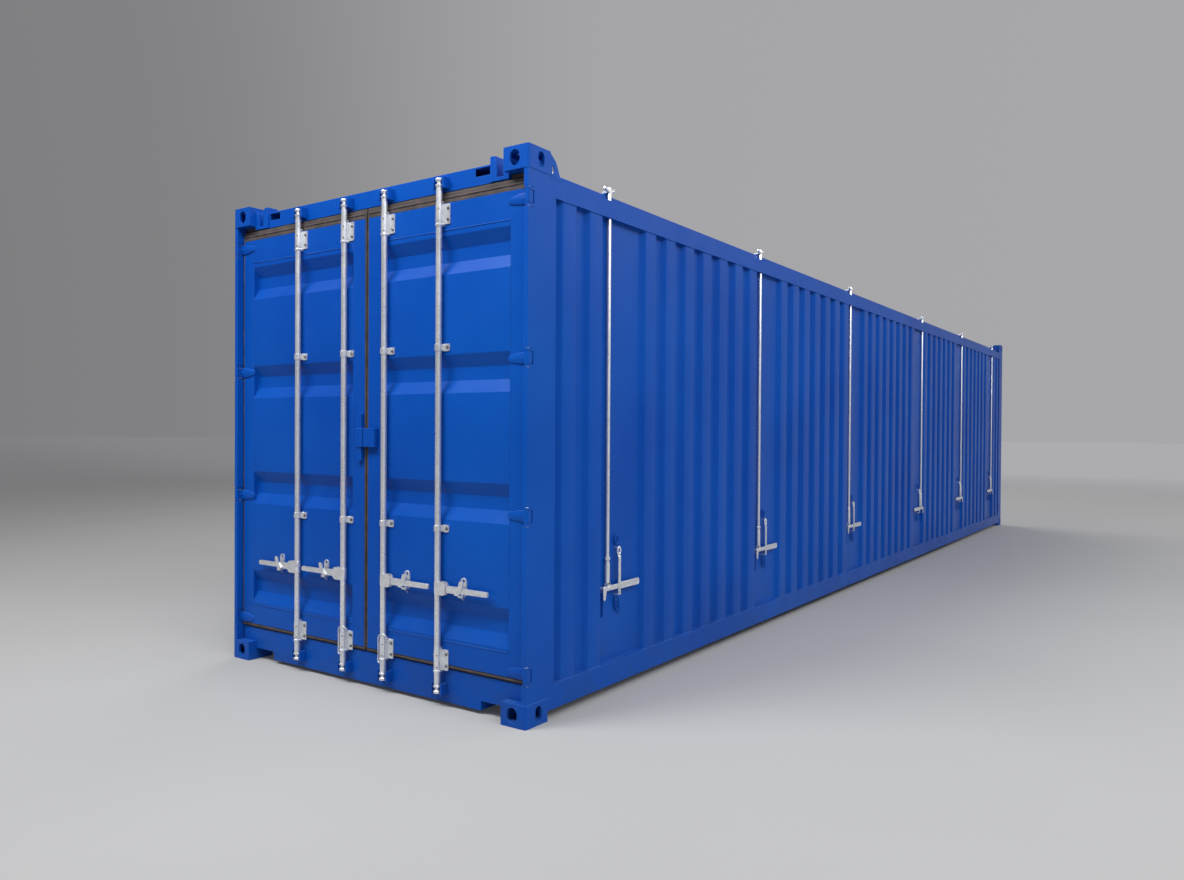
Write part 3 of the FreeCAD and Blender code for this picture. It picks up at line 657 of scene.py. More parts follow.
def bar_guides(side):
    """Guides that hold the lock bars to the door: a saddle, a flange beside it and its fastenings."""
    shape = bmesh.new()
    heads = bmesh.new()
    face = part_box(side + "_door_frame")[0].y
    r = GUIDE_R
    for low, high in solids(side + "_bar_guides"):
        middle = Vector((low.x + r, low.y + r, 0))
        back = high.y - middle.y
        tall = high.z - low.z
        if tall > 0.1:
            rim = [(low.z, r - 0.002), (low.z + 0.002, r), (low.z + 0.012, r), (low.z + 0.014, r - 0.0022)]
            body = [(high.z - 0.030, r - 0.0022), (high.z - 0.012, r - 0.0034), (high.z, r - 0.0034)]
            sleeve(shape, middle, back, BAR_R + BORE_GAP, rim + body)
            for z in (low.z + 0.030, high.z - 0.042):
                for way in (-1, 1):
                    rivet(heads, (middle.x + way * 0.0115, middle.y - r * 0.78, z), (way * 0.5, -1, 0), 0.009)
        else:
            levels = [(low.z + 0.012, r - 0.002), (low.z + 0.014, r)]
            levels += [(high.z - 0.014, r), (high.z - 0.012, r - 0.002)]
            sleeve(shape, middle, back, BAR_R + BORE_GAP, levels)
        inset = min(0.012, tall / 6)
        x0, x1 = middle.x + r * 0.8, high.x
        z0, z1 = low.z + inset, min(high.z - inset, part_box(side + "_door_frame")[1].z - 0.005)
        centre = Vector(((x0 + x1) / 2, face, (z0 + z1) / 2))
        flange_t = 0.006
        prism(shape, rounded_box_outline(centre, X, Z, x1 - x0, z1 - z0, 0.007), (0, -flange_t, 0))
        for share in (0.22, 0.78) if tall > 0.1 else (0.5,):
            bolt(heads, (x1 - 0.014, face - flange_t, z0 + (z1 - z0) * share), (0, -1, 0), 0.013)
    made = piece(side + "_bar_brackets", shape, side + "_door", STEEL, 0.0008)
    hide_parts(side + "_bar_guides")
    piece(side + "_bracket_bolts", heads, side + "_door", "bolt_steel")


def cam(shape, middle, low, high, up):
    """A forged cam on a bar's end: head, waist and neck, with a hooked nose on the head."""
    ends = (low, high) if up else (high, low)
    way = 1 if up else -1
    base = Vector((middle.x, middle.y, ends[0]))
    span = abs(high - low)
    profile = [(BAR_R, 0.0), (CAM_R, 0.002), (CAM_R, 0.010), (0.0125, 0.016), (0.0115, span * 0.55)]
    profile += [(CAM_R - 0.002, span - 0.015), (CAM_R, span - 0.011)]
    profile += [(CAM_R, span - 0.004), (CAM_R - 0.003, span)]
    lathe(shape, base, (0, 0, way), profile, 28)
    for turn in (0.6, math.pi + 0.6):
        u = Vector((math.cos(turn), math.sin(turn), 0))
        v = Vector((-math.sin(turn), math.cos(turn), 0))
        at = base + Z * (way * (span - 0.013)) + u * (CAM_R - 0.0065)
        prism(shape, rounded_box_outline(at, u, v, 0.012, 0.018, 0.004), Z * (way * 0.011))


def lock_bars():
    """Round bars with a cam at each end and a hub that carries the handle."""
    for side, sign, bar in LOCK_BARS:
        node = bar + "_lock_bar"
        body = bar + "_bar"
        low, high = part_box(node)
        middle = pivot(body)
        shape = bmesh.new()
        start, end = low.z + CAM_H, high.z - CAM_H
        lathe(shape, middle + Z * start, Z, [(BAR_R, 0.0), (BAR_R, end - start)], 32)
        cam(shape, middle, end, high.z, True)
        cam(shape, middle, low.z, start, False)
        hub = bmesh.new()
        handle_hub(hub, middle, sign, (high.x if sign > 0 else -low.x) - sign * middle.x)
        made = piece(node + "_rod", shape, body, STEEL)
        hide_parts(node)
        piece(node + "_hub", hub, body, STEEL, 0.0012)


def handle_hub(shape, middle, sign, reach):
    """Two cheeks out from a collar, with the handle's pivot bolt through them."""
    half = 0.036
    start = 0.004
    front = -0.0165
    thick = 0.0175
    collar = [(BAR_R + 0.0003, -half), (BAR_R + 0.002, -half + 0.003)]
    collar += [(BAR_R + 0.002, half - 0.003), (BAR_R + 0.0003, half)]
    lathe(shape, middle + Z * HANDLE_Z, Z, collar, 28)
    cheek = mirrored([(start, -half), (reach - 0.016, -half), (reach, -half + 0.012)])
    for near, far in ((-0.019, front), (0.001, 0.010)):
        prism(shape, drawn(cheek, middle.x, sign, middle.y + near, HANDLE_Z), (0, far - near, 0))
    web = mirrored([(start, -half), (0.026, -half)])
    prism(shape, drawn(web, middle.x, sign, middle.y + front, HANDLE_Z), (0, thick, 0))
    head = middle + Vector((sign * (reach - 0.026), front, HANDLE_Z))
    bolt(shape, head, (0, -1, 0), thick * 0.24)


def lock_handles():
    """Flat handles that narrow past the catch, with the diagonal flap that keeps them in it."""
    thick = 0.012
    flap_t = 0.006
    catch = CATCH_REACH
    flap = [(-0.034, -0.024), (-0.008, -0.026), (0.010, -0.002), (0.028, 0.040), (0.020, 0.052)]
    flap += [(0.002, 0.050), (-0.012, 0.010), (-0.036, -0.012)]
    for side, sign, bar in LOCK_BARS:
        node = bar + "_handle"
        body = bar + "_bar"
        low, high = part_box(node)
        middle = pivot(body)
        near, far = sorted((abs(low.x - middle.x), abs(high.x - middle.x)))
        front = high.y - thick
        half = [(near - 0.040, -0.017), (near + 0.010, -0.019), (catch - 0.018, -0.019)]
        half += [(catch + 0.012, -0.0145), (far - 0.006, -0.0135), (far, -0.009)]
        shape = bmesh.new()
        prism(shape, drawn(mirrored(half), middle.x, sign, high.y, HANDLE_Z), (0, -thick, 0))
        prism(shape, drawn(flap, middle.x + sign * catch, sign, front, HANDLE_Z), (0, -flap_t, 0))
        pin = (middle.x + sign * (catch - 0.016), front - flap_t, HANDLE_Z - 0.010)
        lathe(shape, pin, (0, -1, 0), [(0.007, 0.0), (0.007, 0.001), (0.004, 0.0018)], 14)
        made = piece(node + "_arm", shape, body, STEEL, 0.0016)
        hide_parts(node)


def holed_plate(shape, outline, holes, thick, matrix):
    """A flat plate with holes, made flat and then put in place by a matrix."""
    curve = bpy.data.curves.new("plate", "CURVE")
    curve.dimensions = "2D"
    curve.fill_mode = "BOTH"
    curve.extrude = thick / 2
    for loop in [outline] + holes:
        spline = curve.splines.new("POLY")
        spline.points.add(len(loop) - 1)
        for point, place in zip(spline.points, loop):
            point.co = (place[0], place[1], 0, 1)
        spline.use_cyclic_u = True
    holder = bpy.data.objects.new("plate", curve)
    mesh = bpy.data.meshes.new_from_object(holder)
    mesh.transform(matrix)
    shape.from_mesh(mesh)
    bpy.data.objects.remove(holder)
    bpy.data.meshes.remove(mesh)


def upright_plate(middle):
    """The matrix that stands a flat plate up, facing the doors' side, at a point."""
    return Matrix.Translation(middle) @ Matrix.Rotation(math.pi / 2, 4, "X")


def flat_stadium(long, wide, up=0.0):
    return stadium((0, up, 0), Y, X, long, wide)


def handle_catches(side):
    """Oval plates with two holes and a ledge that a handle rests on."""
    shape = bmesh.new()
    for low, high in solids(side + "_handle_catches"):
        middle = Vector(((low.x + high.x) / 2, high.y - 0.002, high.z - 0.051))
        holes = [flat_stadium(0.020, 0.013, z) for z in (-0.034, 0.034)]
        holed_plate(shape, flat_stadium(0.102, 0.043), holes, 0.004, upright_plate(middle))
        rim = [Vector((p.x, high.y - 0.005, p.z)) for p in stadium(middle, Z, X, 0.098, 0.039, 12)]
        tube(shape, rim, 0.0024, 6, loop=True)
        shelf = HANDLE_Z - 0.028
        x0, x1 = middle.x - 0.016, middle.x + 0.016
        side_view = [(high.y, shelf - 0.008), (low.y, shelf - 0.008), (low.y, shelf + 0.004)]
        side_view += [(low.y + 0.004, shelf + 0.004), (low.y + 0.004, shelf), (high.y, shelf)]
        prism(shape, [(x0, y, z) for y, z in side_view], (x1 - x0, 0, 0))
        brace = [(high.y, shelf - 0.030), (low.y + 0.006, shelf - 0.008), (high.y, shelf - 0.008)]
        prism(shape, [(middle.x - 0.003, y, z) for y, z in brace], (0.006, 0, 0))
    made = piece(side + "_catch_plates", shape, side + "_door", STEEL, 0.0006)
    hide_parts(side + "_handle_catches")


def hold_back_hooks():
    """A wire hook hung on the lower guide of each inner lock bar, to hold an open door."""
    for side, _ in SIDES:
        guides = [b for b in solids(side + "_bar_guides") if b[1].z < 0.4]
        low, high = min(guides, key=lambda b: abs(b[0].x + b[1].x))
        x, y = low.x + GUIDE_R, low.y
        top = high.z + 0.012
        hook = [(0.029, 0.016, -0.008), (0.018, 0.008, 0.002), (0.0, 0.0032, -0.001)]
        hook += [(-0.018, 0.006, -0.008), (-0.030, 0.012, -0.030)]
        tail = [(-0.031, 0.014, 0.060), (-0.031, 0.013, 0.020), (-0.028, 0.010, -0.004)]
        tail += [(-0.020, 0.008, -0.014), (-0.012, 0.010, -0.008)]
        route = [(x + 0.030, high.y - 0.012, top - 0.030)]
        route += [(x + a, y + b, top + c) for a, b, c in hook]
        route += [(x + a, y + b, low.z + c) for a, b, c in tail]
        shape = bmesh.new()
        tube(shape, smooth_path(route), 0.0034, 10)
        stud = [(0.009, 0.0), (0.009, 0.015), (0.006, 0.017)]
        lathe(shape, (x + 0.030, high.y, top - 0.034), (0, -1, 0), stud, 16)
        piece(side + "_hold_back_hook", shape, side + "_door", STEEL)


def smooth_path(points, steps=5):
    """A rounded path through points (Catmull-Rom)."""
    p = [Vector(a) for a in points]
    p = [p[0]] + p + [p[-1]]
    out = []
    for a, b, c, d in zip(p, p[1:], p[2:], p[3:]):
        for k in range(steps):
            t = k / steps
            out.append(0.5 * (2 * b + (c - a) * t + (2 * a - 5 * b + 4 * c - d) * t * t
                              + (3 * b - a - 3 * c + d) * t ** 3))
    return out + [p[-1]]


def hinges(side):
    """Forged hinge blades: a knuckle, a root and a tapering leaf with a raised ridge."""
    shape = bmesh.new()
    sign = 1 if side == "right" else -1
    for low, high in solids(side + "_hinge_blades"):
        _, far, tip = sided(low, high)
        r = KNUCKLE_R
        pin = Vector((far - sign * r, low.y + r, 0))
        z = (low.z + high.z) / 2
        levels = [(low.z, r - 0.001), (low.z + 0.001, r), (high.z - 0.001, r), (high.z, r - 0.001)]
        rings = [circle(pin + Z * h, X, Y, a, 28) for h, a in levels]
        rings += [circle(pin + Z * h, X, Y, PIN_R + 0.0005, 28) for h in (high.z, low.z)]
        loft(shape, rings, loop=True)
        face = high.y
        root = far - sign * 0.019
        span = root - tip
        leaf = mirrored([(0.0, 0.030), (0.42, 0.030), (0.93, 0.018), (1.0, 0.010)])
        outer = [Vector((root - span * a, face, z + b)) for a, b in leaf]
        raised = [Vector((root - span * a * 0.97, face - 0.006, z + b * 0.93)) for a, b in leaf]
        top = [Vector((root - span * a * 0.80, face - 0.010, z + b * 0.52)) for a, b in leaf]
        loft(shape, [outer, raised, top])
        ridge = [(root - span * 0.02, face - 0.006, z + 0.020), (root - span * 0.9, face - 0.006, z + 0.001)]
        ridge += [(root - span * 0.02, face - 0.006, z - 0.020), (root - span * 0.02, face - 0.014, z)]
        tent = [shape.verts.new(p) for p in ridge]
        for a, b, c in ((0, 1, 3), (1, 2, 3), (2, 0, 3), (0, 2, 1)):
            shape.faces.new((tent[a], tent[b], tent[c]))
        neck = pin.y + PIN_R + 0.001
        for x0, x1 in ((pin.x - 0.009, pin.x + 0.009), (root + sign * 0.002, pin.x - sign * 0.004)):
            block(shape, (x0, neck, z - 0.030), (x1, face, z + 0.030))
    made = piece(side + "_hinge_leaves", shape, side + "_door", PAINT, 0.0014)
    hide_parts(side + "_hinge_blades")


def hinge_pins():
    """Domed pin ends and the weld round the ears in each post's pocket."""
    heads = bmesh.new()
    welds = bmesh.new()
    rng = random.Random(21)
    for low, high in solids("post_hinges"):
        sign, far, _ = sided(low, high)
        pin = Vector((far - sign * 0.011, low.y + KNUCKLE_R, 0))
        dome = [(0.0105, 0.0), (0.0095, 0.0022), (0.004, 0.0035)]
        for z, way in ((high.z, 1), (low.z, -1)):
            lathe(heads, (pin.x, pin.y, z - way * 0.001), (0, 0, way), dome, 18)
        for z in (low.z + 0.0005, high.z - 0.0005):
            y = low.y + 0.026
            bead(welds, [(pin.x - sign * 0.014, y, z), (pin.x + sign * 0.008, y, z)], 0.0030, rng)
    piece("hinge_pin_heads", heads, ROOT, STEEL)
    piece("hinge_welds", welds, ROOT, PAINT)


def door_seals(side):
    """A lip that runs round the front of each door's rubber strip."""
    low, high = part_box(side + "_door_seal")
    frame_low, frame_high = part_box(side + "_door_frame")
    x0, x1 = (low.x + frame_low.x) / 2, (high.x + frame_high.x) / 2
    z0, z1 = (low.z + frame_low.z) / 2, (high.z + frame_high.z) / 2
    y = low.y + 0.001
    corners = [(x0, y, z0), (x1, y, z0), (x1, y, z1), (x0, y, z1)]
    lips = bmesh.new()
    for a, b in zip(corners, corners[1:] + corners[:1]):
        a, b = Vector(a), Vector(b)
        tube(lips, [a.lerp(b, k / 12) for k in range(13)], 0.0052, 10)
    piece(side + "_seal_lip", lips, side + "_door", "rubber")


# ------------------------------------------------------------------ roof-lock gear

def roof_rods():
    """Rods with a hook over the roof's edge, an adjuster and an eye at the lever."""
    rods = bmesh.new()
    nuts = bmesh.new()
    for low, high in solids("roof_lock_rods"):
        sign, outer, inner = sided(low, high)
        tall = high.z - low.z
        x = sign * (cad_high.x - ROD_INSET)
        y = (low.y + high.y) / 2
        foot = Vector((x, y, low.z))
        eye_top = 0.045
        shaft = [(0.0125, eye_top - 0.004), (0.0150, eye_top + 0.004), (0.0150, 0.150), (0.0105, 0.168)]
        shaft += [(0.0078, 0.170), (0.0078, 0.190), (ROD_R, 0.191)]
        shaft += [(ROD_R, tall - 0.012), (0.009, tall - 0.006)]
        lathe(rods, foot, Z, shaft, 20)
        nut = [(0.0150, 0.0), (0.0160, 0.002), (0.0160, 0.016), (0.0150, 0.018)]
        lathe(nuts, foot + Z * 0.171, Z, nut, 6)
        cheek = rounded_box_outline((0, y, low.z + 0.0225), Y, Z, 0.028, 0.045, 0.008)
        for a, b in ((outer, outer - sign * 0.006), (outer - sign * 0.018, outer - sign * 0.025)):
            prism(rods, [Vector((a, p.y, p.z)) for p in cheek], (b - a, 0, 0))
        block(rods, (outer - sign * 0.025, y - 0.010, low.z + 0.034), (outer, y + 0.010, low.z + eye_top))
        top = high.z
        hook = [(x + sign * 0.010, top - 0.014), (x + sign * 0.011, top - 0.004), (x + sign * 0.004, top)]
        hook += [(x - sign * 0.020, top), (inner + sign * 0.004, top - 0.003), (inner, top - 0.007)]
        hook += [(inner, top - 0.012), (x - sign * 0.012, top - 0.012)]
        prism(rods, [Vector((a, y - 0.014, b)) for a, b in hook], (0, 0.028, 0))
        for way in (-1, 1):
            run = ((0.006, -0.008), (0.024, 0.002), (0.050, 0.012))
            wing = [(x, y + way * a, top + b) for a, b in run]
            tube(rods, wing, [0.011, 0.0105, 0.0070], 12)
        bolt(nuts, (x - sign * 0.026, y, top), Z, 0.013)
        lathe(nuts, (x, y, top - 0.002), Z, [(0.0115, 0.0), (0.0115, 0.016), (0.008, 0.022)], 14)
    made = piece("roof_rods", rods, ROOT, STEEL, 0.0009)
    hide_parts("roof_lock_rods")
    piece("rod_nuts", nuts, ROOT, STEEL)


def levers():
    """Levers with a turned-down tail at the near end, their pins, and ribs below them."""
    plates = bmesh.new()
    pins = bmesh.new()
    pockets = bmesh.new()
    for low, high in solids("roof_lock_levers"):
        sign, outer, floor = sided(low, high)
        rods = [(b[0].y + b[1].y) / 2 for b in solids("roof_lock_rods") if outward(b[0]) == sign]
        rod_y = next(y for y in rods if low.y < y < high.y)
        way = 1 if high.y - rod_y > rod_y - low.y else -1
        z = (low.z + high.z) / 2
        near, far = (low.y, high.y) if way > 0 else (high.y, low.y)
        thick = 0.004
        half = [(near, 0.008), (near + way * 0.006, 0.014), (rod_y + way * 0.085, 0.014)]
        half += [(rod_y + way * 0.125, 0.0195), (far - way * 0.012, 0.0195), (far - way * 0.003, 0.014)]
        bar = mirrored(half + [(far, 0.005)])
        prism(plates, [Vector((outer, y, z + b)) for y, b in bar], (-sign * thick, 0, 0))
        grip_y = (rod_y + way * 0.150 + far) / 2
        grip_l = abs(far - rod_y - way * 0.150) - 0.012
        rim = rounded_box_outline((outer + sign * 0.0006, grip_y, z), Y, Z, grip_l, 0.030, 0.008)
        tube(plates, rim, 0.0022, 6, loop=True)
        pin_y = rod_y - way * 0.045
        tail = [(near - way * 0.004, -0.008), (pin_y + way * 0.016, -0.010), (pin_y + way * 0.004, -0.062)]
        tail += [(pin_y - way * 0.010, -0.066), (near - way * 0.002, -0.052)]
        prism(plates, [Vector((outer + sign * 0.0022, y, z + b)) for y, b in tail], (-sign * 0.003, 0, 0))
        lathe(pins, (floor, pin_y, z), (sign, 0, 0), [(0.010, 0.0), (0.010, abs(outer - floor) - 0.003)], 18)
        for y in (rod_y, pin_y):
            lathe(pins, (outer, y, z), (sign, 0, 0), [(0.0085, 0.0), (0.0085, 0.0020), (0.0060, 0.0036)], 18)
        for offset in (-0.011, 0.011):
            y = pin_y - way * 0.006 + offset
            block(pockets, (floor, y - 0.0015, z - 0.160), (floor + sign * 0.016, y + 0.0015, z - 0.030))
    made = piece("lever_bars", plates, ROOT, STEEL, 0.0009)
    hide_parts("roof_lock_levers")
    piece("lever_pins", pins, ROOT, STEEL)
    piece("lever_pockets", pockets, ROOT, PAINT)


def straps():
    """Upright straps over the levers, with a ring above, chain links below and a backing plate."""
    bands = bmesh.new()
    links = bmesh.new()
    plates = bmesh.new()
    levers_now = solids("roof_lock_levers")
    for low, high in solids("lever_straps"):
        sign, outer, floor = sided(low, high)
        y = (low.y + high.y) / 2
        lever = next(b for b in levers_now if outward(b[0]) == sign and b[0].y < y < b[1].y)
        way = 1 if lever[1].y - y > y - lever[0].y else -1
        eye = high.z - 0.022
        side_view = [(outer - sign * 0.004, low.z), (outer, low.z + 0.010), (outer, eye - 0.036)]
        side_view += [(outer - sign * 0.003, eye - 0.030), (outer - sign * 0.008, eye - 0.022)]
        side_view += [(outer - sign * 0.011, eye - 0.022), (outer - sign * 0.006, eye - 0.032)]
        side_view += [(outer - sign * 0.0035, low.z + 0.012), (outer - sign * 0.006, low.z + 0.004)]
        side_view = [(floor, low.z)] + side_view + [(floor, low.z + 0.004)]
        prism(bands, [Vector((x, y - 0.012, z)) for x, z in side_view], (0, 0.024, 0))
        at = Vector((outer - sign * 0.007, y, eye))
        tube(bands, oval(at, Y, Z, 0.014, 0.022), 0.0058, 12, loop=True)
        block(bands, (floor, y - 0.006, high.z - 0.006), (outer - sign * 0.010, y + 0.006, high.z))
        block(bands, (outer - sign * 0.006, y - 0.014, low.z + 0.002), (outer, y + 0.014, low.z + 0.014))
        bolt(bands, (outer - sign * 0.0052, y, low.z + 0.008), (sign, 0, 0), 0.008)
        at = Vector((floor + sign * 0.012, y, high.z + 0.040))
        tube(links, oval(at, Y, Z, 0.016, 0.027), 0.0048, 10, loop=True)
        lean = 0.85
        for k in range(3):
            u = (Y * (way * math.cos(lean)) - Z * math.sin(lean)).normalized()
            v = (Z * math.cos(lean) + Y * (way * math.sin(lean)) + X * (sign * 0.35)).normalized()
            at = Vector((floor + sign * 0.014, y + way * (0.004 + 0.003 * k), low.z - 0.030 - 0.024 * k))
            tube(links, oval(at, u, v, 0.031, 0.011), 0.0042, 10, loop=True)
        block(plates, (floor, y + way * 0.030, low.z + 0.030),
              (floor + sign * 0.002, y + way * 0.165, high.z + 0.012))
    made = piece("lever_bands", bands, ROOT, STEEL, 0.0006)
    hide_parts("lever_straps")
    piece("lever_links", links, ROOT, PAINT)
    piece("lever_backing_plates", plates, ROOT, PAINT, 0.0008)


# ------------------------------------------------------------------ frame detail

def casting_welds():
    """Weld beads where the posts stand on the bottom castings and meet the top ones."""
    shape = bmesh.new()
    rng = random.Random(31)
    for node in ("bottom_castings", "top_castings"):
        for low, high in solids(node):
            sign, _, x_in = sided(low, high)
            end = 1 if low.y > 0 else -1
            z = high.z if node == "bottom_castings" else low.z
            x_out = sign * (cad_high.x - 0.0052)
            y_out = end * (cad_high.y - 0.0052)
            y_in = low.y if end > 0 else high.y
            x_start = sign * (cad_high.x - 0.032) if end < 0 else x_in
            bead(shape, [(x_start, y_out, z), (x_out, y_out, z)], 0.0042, rng)
            bead(shape, [(x_out, y_out, z), (x_out, y_in, z)], 0.0042, rng)
    piece("casting_welds", shape, ROOT, PAINT)


def frame_welds():
    """Beads along the sill, the rails' ends and the gusset plates."""
    shape = bmesh.new()
    rng = random.Random(33)
    sill_low, sill_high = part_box("rear_sill")
    for sign in (-1, 1):
        x = sign * sill_high.x
        bead(shape, [(x, sill_low.y, CASTING_H), (x, sill_low.y, sill_high.z)], 0.0036, rng)
    for low, high in solids("casting_gussets"):
        sign, outer, _ = sided(low, high)
        x = outer - sign * 0.0125
        face = sign * (cad_high.x - 0.0048)
        for y in (low.y, high.y):
            bead(shape, [(face, y, low.z + 0.002), (face, y, low.z + 0.018)], 0.0032, rng)
        bead(shape, [(face, low.y, low.z), (face, high.y, low.z)], 0.0036, rng)
        bead(shape, [(x, low.y, low.z), (x, high.y, low.z)], 0.0030, rng)
    for node in ("bottom_side_rails", "top_side_rails"):
        for low, high in solids(node):
            sign, outer, _ = sided(low, high)
            face = outer - sign * 0.0018
            for y in (low.y, high.y):
                z0 = max(low.z, CASTING_H if node == "bottom_side_rails" else low.z)
                end = math.copysign(cad_high.y - 0.231, y)
                bead(shape, [(face, end, z0), (face, end, high.z)], 0.0034, rng)
    piece("frame_welds", shape, ROOT, PAINT)


def header_end_plates():
    """Plates that close the ends of the rear header."""
    low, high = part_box("rear_header")
    shape = bmesh.new()
    for sign in (-1, 1):
        x0, x1 = sign * (high.x - 0.001), sign * (high.x - 0.006)
        block(shape, (x0, low.y + 0.003, low.z + 0.003), (x1, high.y - 0.003, high.z - 0.003))
    piece("header_end_plates", shape, ROOT, PAINT)


def gusset_rings():
    """A steel ring lying in each gusset plate's slot, and the plate behind it."""
    shape = bmesh.new()
    backs = bmesh.new()
    for low, high in solids("casting_gussets"):
        sign, face, _ = sided(low, high)
        end = 1 if low.y > 0 else -1
        y = (high.y if end > 0 else low.y) - end * 0.024
        middle = Vector((face - sign * 0.006, y, cad_high.z - CASTING_H + 0.028))
        tube(shape, oval(middle, Y, Z, 0.0060, 0.017), 0.0024, 8, loop=True)
        x0, x1 = sorted((face - sign * 0.022, face - sign * 0.018))
        outer = high.y if end > 0 else low.y
        slope = [(outer, low.z), (outer, high.z), (y, high.z - 0.030), (y - end * 0.018, low.z + 0.050)]
        slope.append((y - end * 0.026, low.z))
        prism(backs, [(x0, a, b) for a, b in slope], (x1 - x0, 0, 0))
    piece("gusset_rings", shape, ROOT, STEEL)
    piece("gusset_backs", backs, ROOT, PAINT)


def floor_boards():
    """Plywood boards with a gap between them and rows of countersunk screws."""
    low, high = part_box("floor")
    boards = bmesh.new()
    screws = bmesh.new()
    edge = BOARD_GAP / 2
    step = (high.y - low.y) / BOARD_ROWS
    for k in range(BOARD_ROWS):
        y0, y1 = low.y + k * step + edge, low.y + (k + 1) * step - edge
        for x0, x1 in ((low.x, -edge), (edge, high.x)):
            block(boards, (x0, y0, low.z), (x1, y1, high.z))
    for a, b in solids("cross_members"):
        for k in range(SCREWS_A_ROW):
            x = low.x + (high.x - low.x) * (k + 0.5) / SCREWS_A_ROW
            rivet(screws, (x, (a.y + b.y) / 2, high.z - 0.001), Z, 0.011)
    made = piece("floor_boards", boards, ROOT, "plywood", 0.0015)
    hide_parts("floor")
    piece("floor_screws", screws, ROOT, "bolt_steel")


# ------------------------------------------------------------------ stage

def camera():
    """Eye height, off the right rear corner."""
    data = bpy.data.cameras.new("camera")
    data.lens = FOCAL_MM
    data.sensor_width = 36.0
    data.clip_end = 400.0
    eye = bpy.data.objects.new("camera", data)
    bpy.context.scene.collection.objects.link(eye)
    right = (RIGHTWARD - LOOKING * RIGHTWARD.dot(LOOKING)).normalized()
    turn = Matrix((right, right.cross(LOOKING), -LOOKING)).transposed().to_4x4()
    eye.matrix_world = Matrix.Translation(EYE) @ turn
    bpy.context.scene.camera = eye


def area_light(name, place, target, size, power):
    data = bpy.data.lights.new(name, "AREA")
    data.shape = "RECTANGLE"
    data.size, data.size_y = size
    data.energy = power
    lamp = bpy.data.objects.new(name, data)
    bpy.context.scene.collection.objects.link(lamp)
    lamp.location = place
    lamp.rotation_euler = (Vector(target) - Vector(place)).to_track_quat("-Z", "Y").to_euler()


def stage_floor():
    """A wide pale floor that fades to the grey of the surroundings: its far part glows, darker on the left,
    as painted light that makes up for the lamps falling off.
    """
    shape = bmesh.new()
    bmesh.ops.create_circle(shape, cap_ends=True, segments=96, radius=160.0)
    mesh = bpy.data.meshes.new("stage_floor")
    shape.to_mesh(mesh)
    shape.free()
    material, shader, add = new_material("stage_floor")
    where = add("ShaderNodeTexCoord").outputs["Object"]
    tone = remap(add, noise(add, where, 0.25, 3.0), 0.3, 0.7)
    reach = add("ShaderNodeVectorMath", {0: where}, operation="LENGTH").outputs["Value"]
    away = add("ShaderNodeVectorMath", {0: where}, operation="NORMALIZE").outputs[0]
    fade = remap(add, reach, 3.0, 26.0)
    near = blend_colour(add, tone, (0.47, 0.47, 0.465), (0.50, 0.50, 0.495))
    connect(shader, "Base Color", blend_colour(add, fade, near, (0.0, 0.0, 0.0)))
    # painted light: the far floor glows with the surroundings' grey instead of being lit by the lamps
    glow = blend_colour(add, fade, (0.0, 0.0, 0.0), surround_tone(material.node_tree, away))
    connect(shader, "Emission Color", glow)
    shader.inputs["Emission Strength"].default_value = 1.0
    shader.inputs["Roughness"].default_value = 0.7
    shader.inputs["Specular IOR Level"].default_value = 0.1
    mesh.materials.append(material)
    plane = bpy.data.objects.new("stage_floor", mesh)
    bpy.context.scene.collection.objects.link(plane)


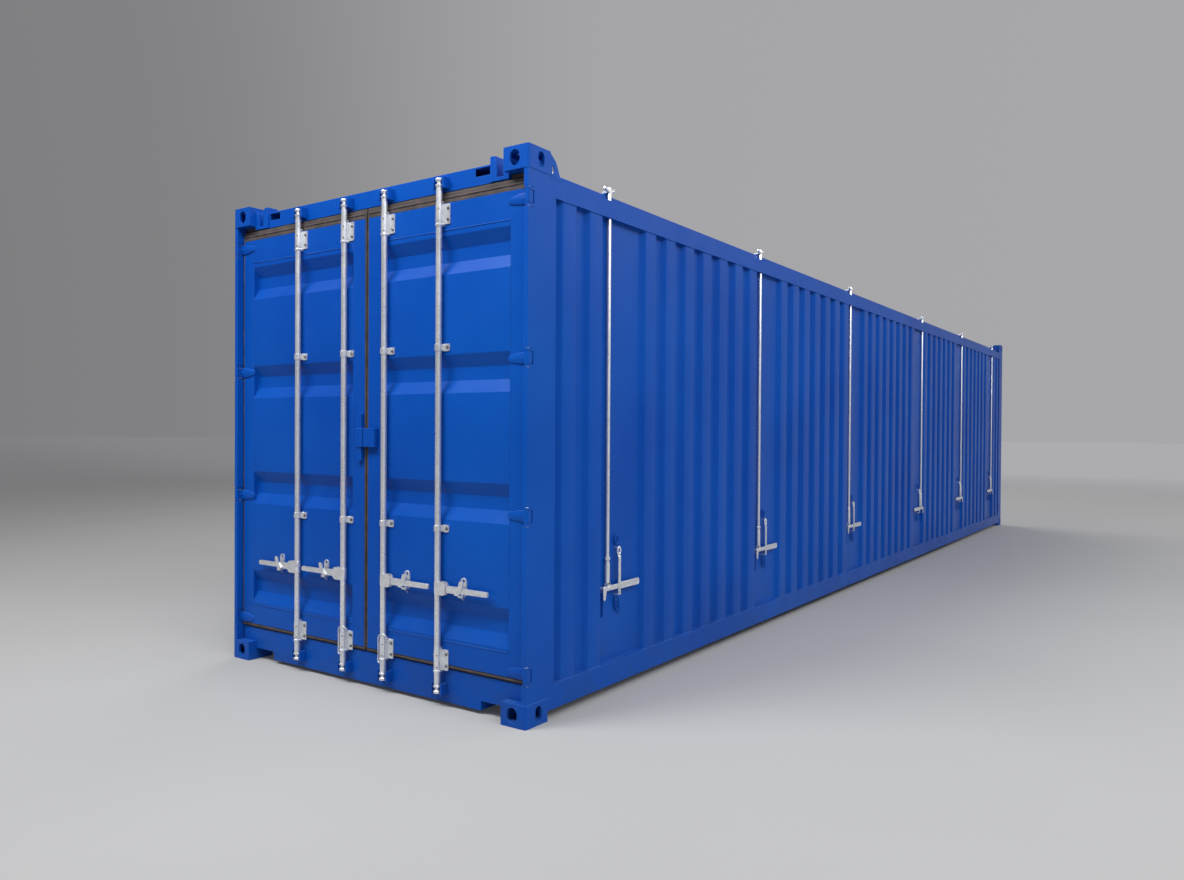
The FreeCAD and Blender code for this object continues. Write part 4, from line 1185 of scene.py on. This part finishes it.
def surround_tone(tree, direction):
    """The grey of the surroundings in a direction, darker on the left."""
    side = tree.nodes.new("ShaderNodeVectorMath")
    side.operation = "DOT_PRODUCT"
    side.inputs[1].default_value = (RIGHTWARD.x, RIGHTWARD.y, 0.0)
    shift = tree.nodes.new("ShaderNodeMapRange")
    for i, number in enumerate((-0.75, 0.55, 0.0, 1.0)):
        shift.inputs[i + 1].default_value = number
    ramp = tree.nodes.new("ShaderNodeValToRGB")
    ramp.color_ramp.interpolation = "EASE"
    tree.links.new(direction, side.inputs[0])
    tree.links.new(side.outputs["Value"], shift.inputs[0])
    tree.links.new(shift.outputs[0], ramp.inputs[0])
    stops = ((0.0, 0.18), (0.22, 0.22), (0.62, 0.38), (1.0, 0.39))
    elements = ramp.color_ramp.elements
    while len(elements) < len(stops):
        elements.new(0.5)
    for element, (place, grey) in zip(elements, stops):
        element.position = place
        element.color = (grey, grey, grey * 1.03, 1.0)
    return ramp.outputs[0]


def studio_air():
    """Soft grey surroundings."""
    world = bpy.data.worlds.new("studio")
    bpy.context.scene.world = world
    world.use_nodes = True
    tree = world.node_tree
    where = tree.nodes.new("ShaderNodeTexCoord")
    tree.links.new(surround_tone(tree, where.outputs["Generated"]), tree.nodes["Background"].inputs[0])


# ------------------------------------------------------------------ build

finish_frame({
    "bottom_castings": 0.006, "top_castings": 0.007, "rear_posts": 0.004, "front_posts": 0.004,
    "casting_gussets": 0.002, "rear_sill": 0.003, "front_sill": 0.003, "rear_header": 0.003,
    "front_header": 0.003, "header_fittings": 0.003, "corner_seals": 0.006, "bottom_side_rails": 0.002,
    "top_side_rails": 0.0022, "roof_panels": 0.0009, "roof_cleats": 0.003, "cam_keepers": 0.002,
    "post_hinges": 0.0016, "right_door_frame": 0.0019, "left_door_frame": 0.0019,
    "right_door_seal": 0.004, "left_door_seal": 0.004, "right_centre_box": 0.002, "left_centre_box": 0.002,
})
side_walls()
front_wall()
door_panels()
lock_bars()
lock_handles()
for side, _ in SIDES:
    bar_guides(side)
    handle_catches(side)
    hinges(side)
    door_seals(side)
hold_back_hooks()
hinge_pins()
roof_rods()
levers()
straps()
casting_welds()
frame_welds()
gusset_rings()
header_end_plates()
floor_boards()

camera()
stage_floor()
studio_air()
area_light("key", (-3.0, -11.5, 9.5), (0.0, -6.0, 1.4), (5.0, 3.0), 620.0)
area_light("side", (9.0, -7.0, 8.5), (1.2, -2.0, 1.0), (10.0, 4.0), 660.0)
area_light("back", (-7.0, 9.0, 10.0), (-0.5, 3.0, 1.0), (10.0, 6.0), 650.0)
area_light("far_floor", (13.0, 9.0, 9.0), (8.0, 3.0, 0.0), (12.0, 8.0), 420.0)
area_light("header_wash", (0.6, -8.4, 5.8), (0.0, -6.05, 2.8), (4.0, 0.8), 150.0)
bpy.context.scene.view_settings.view_transform = "Standard"
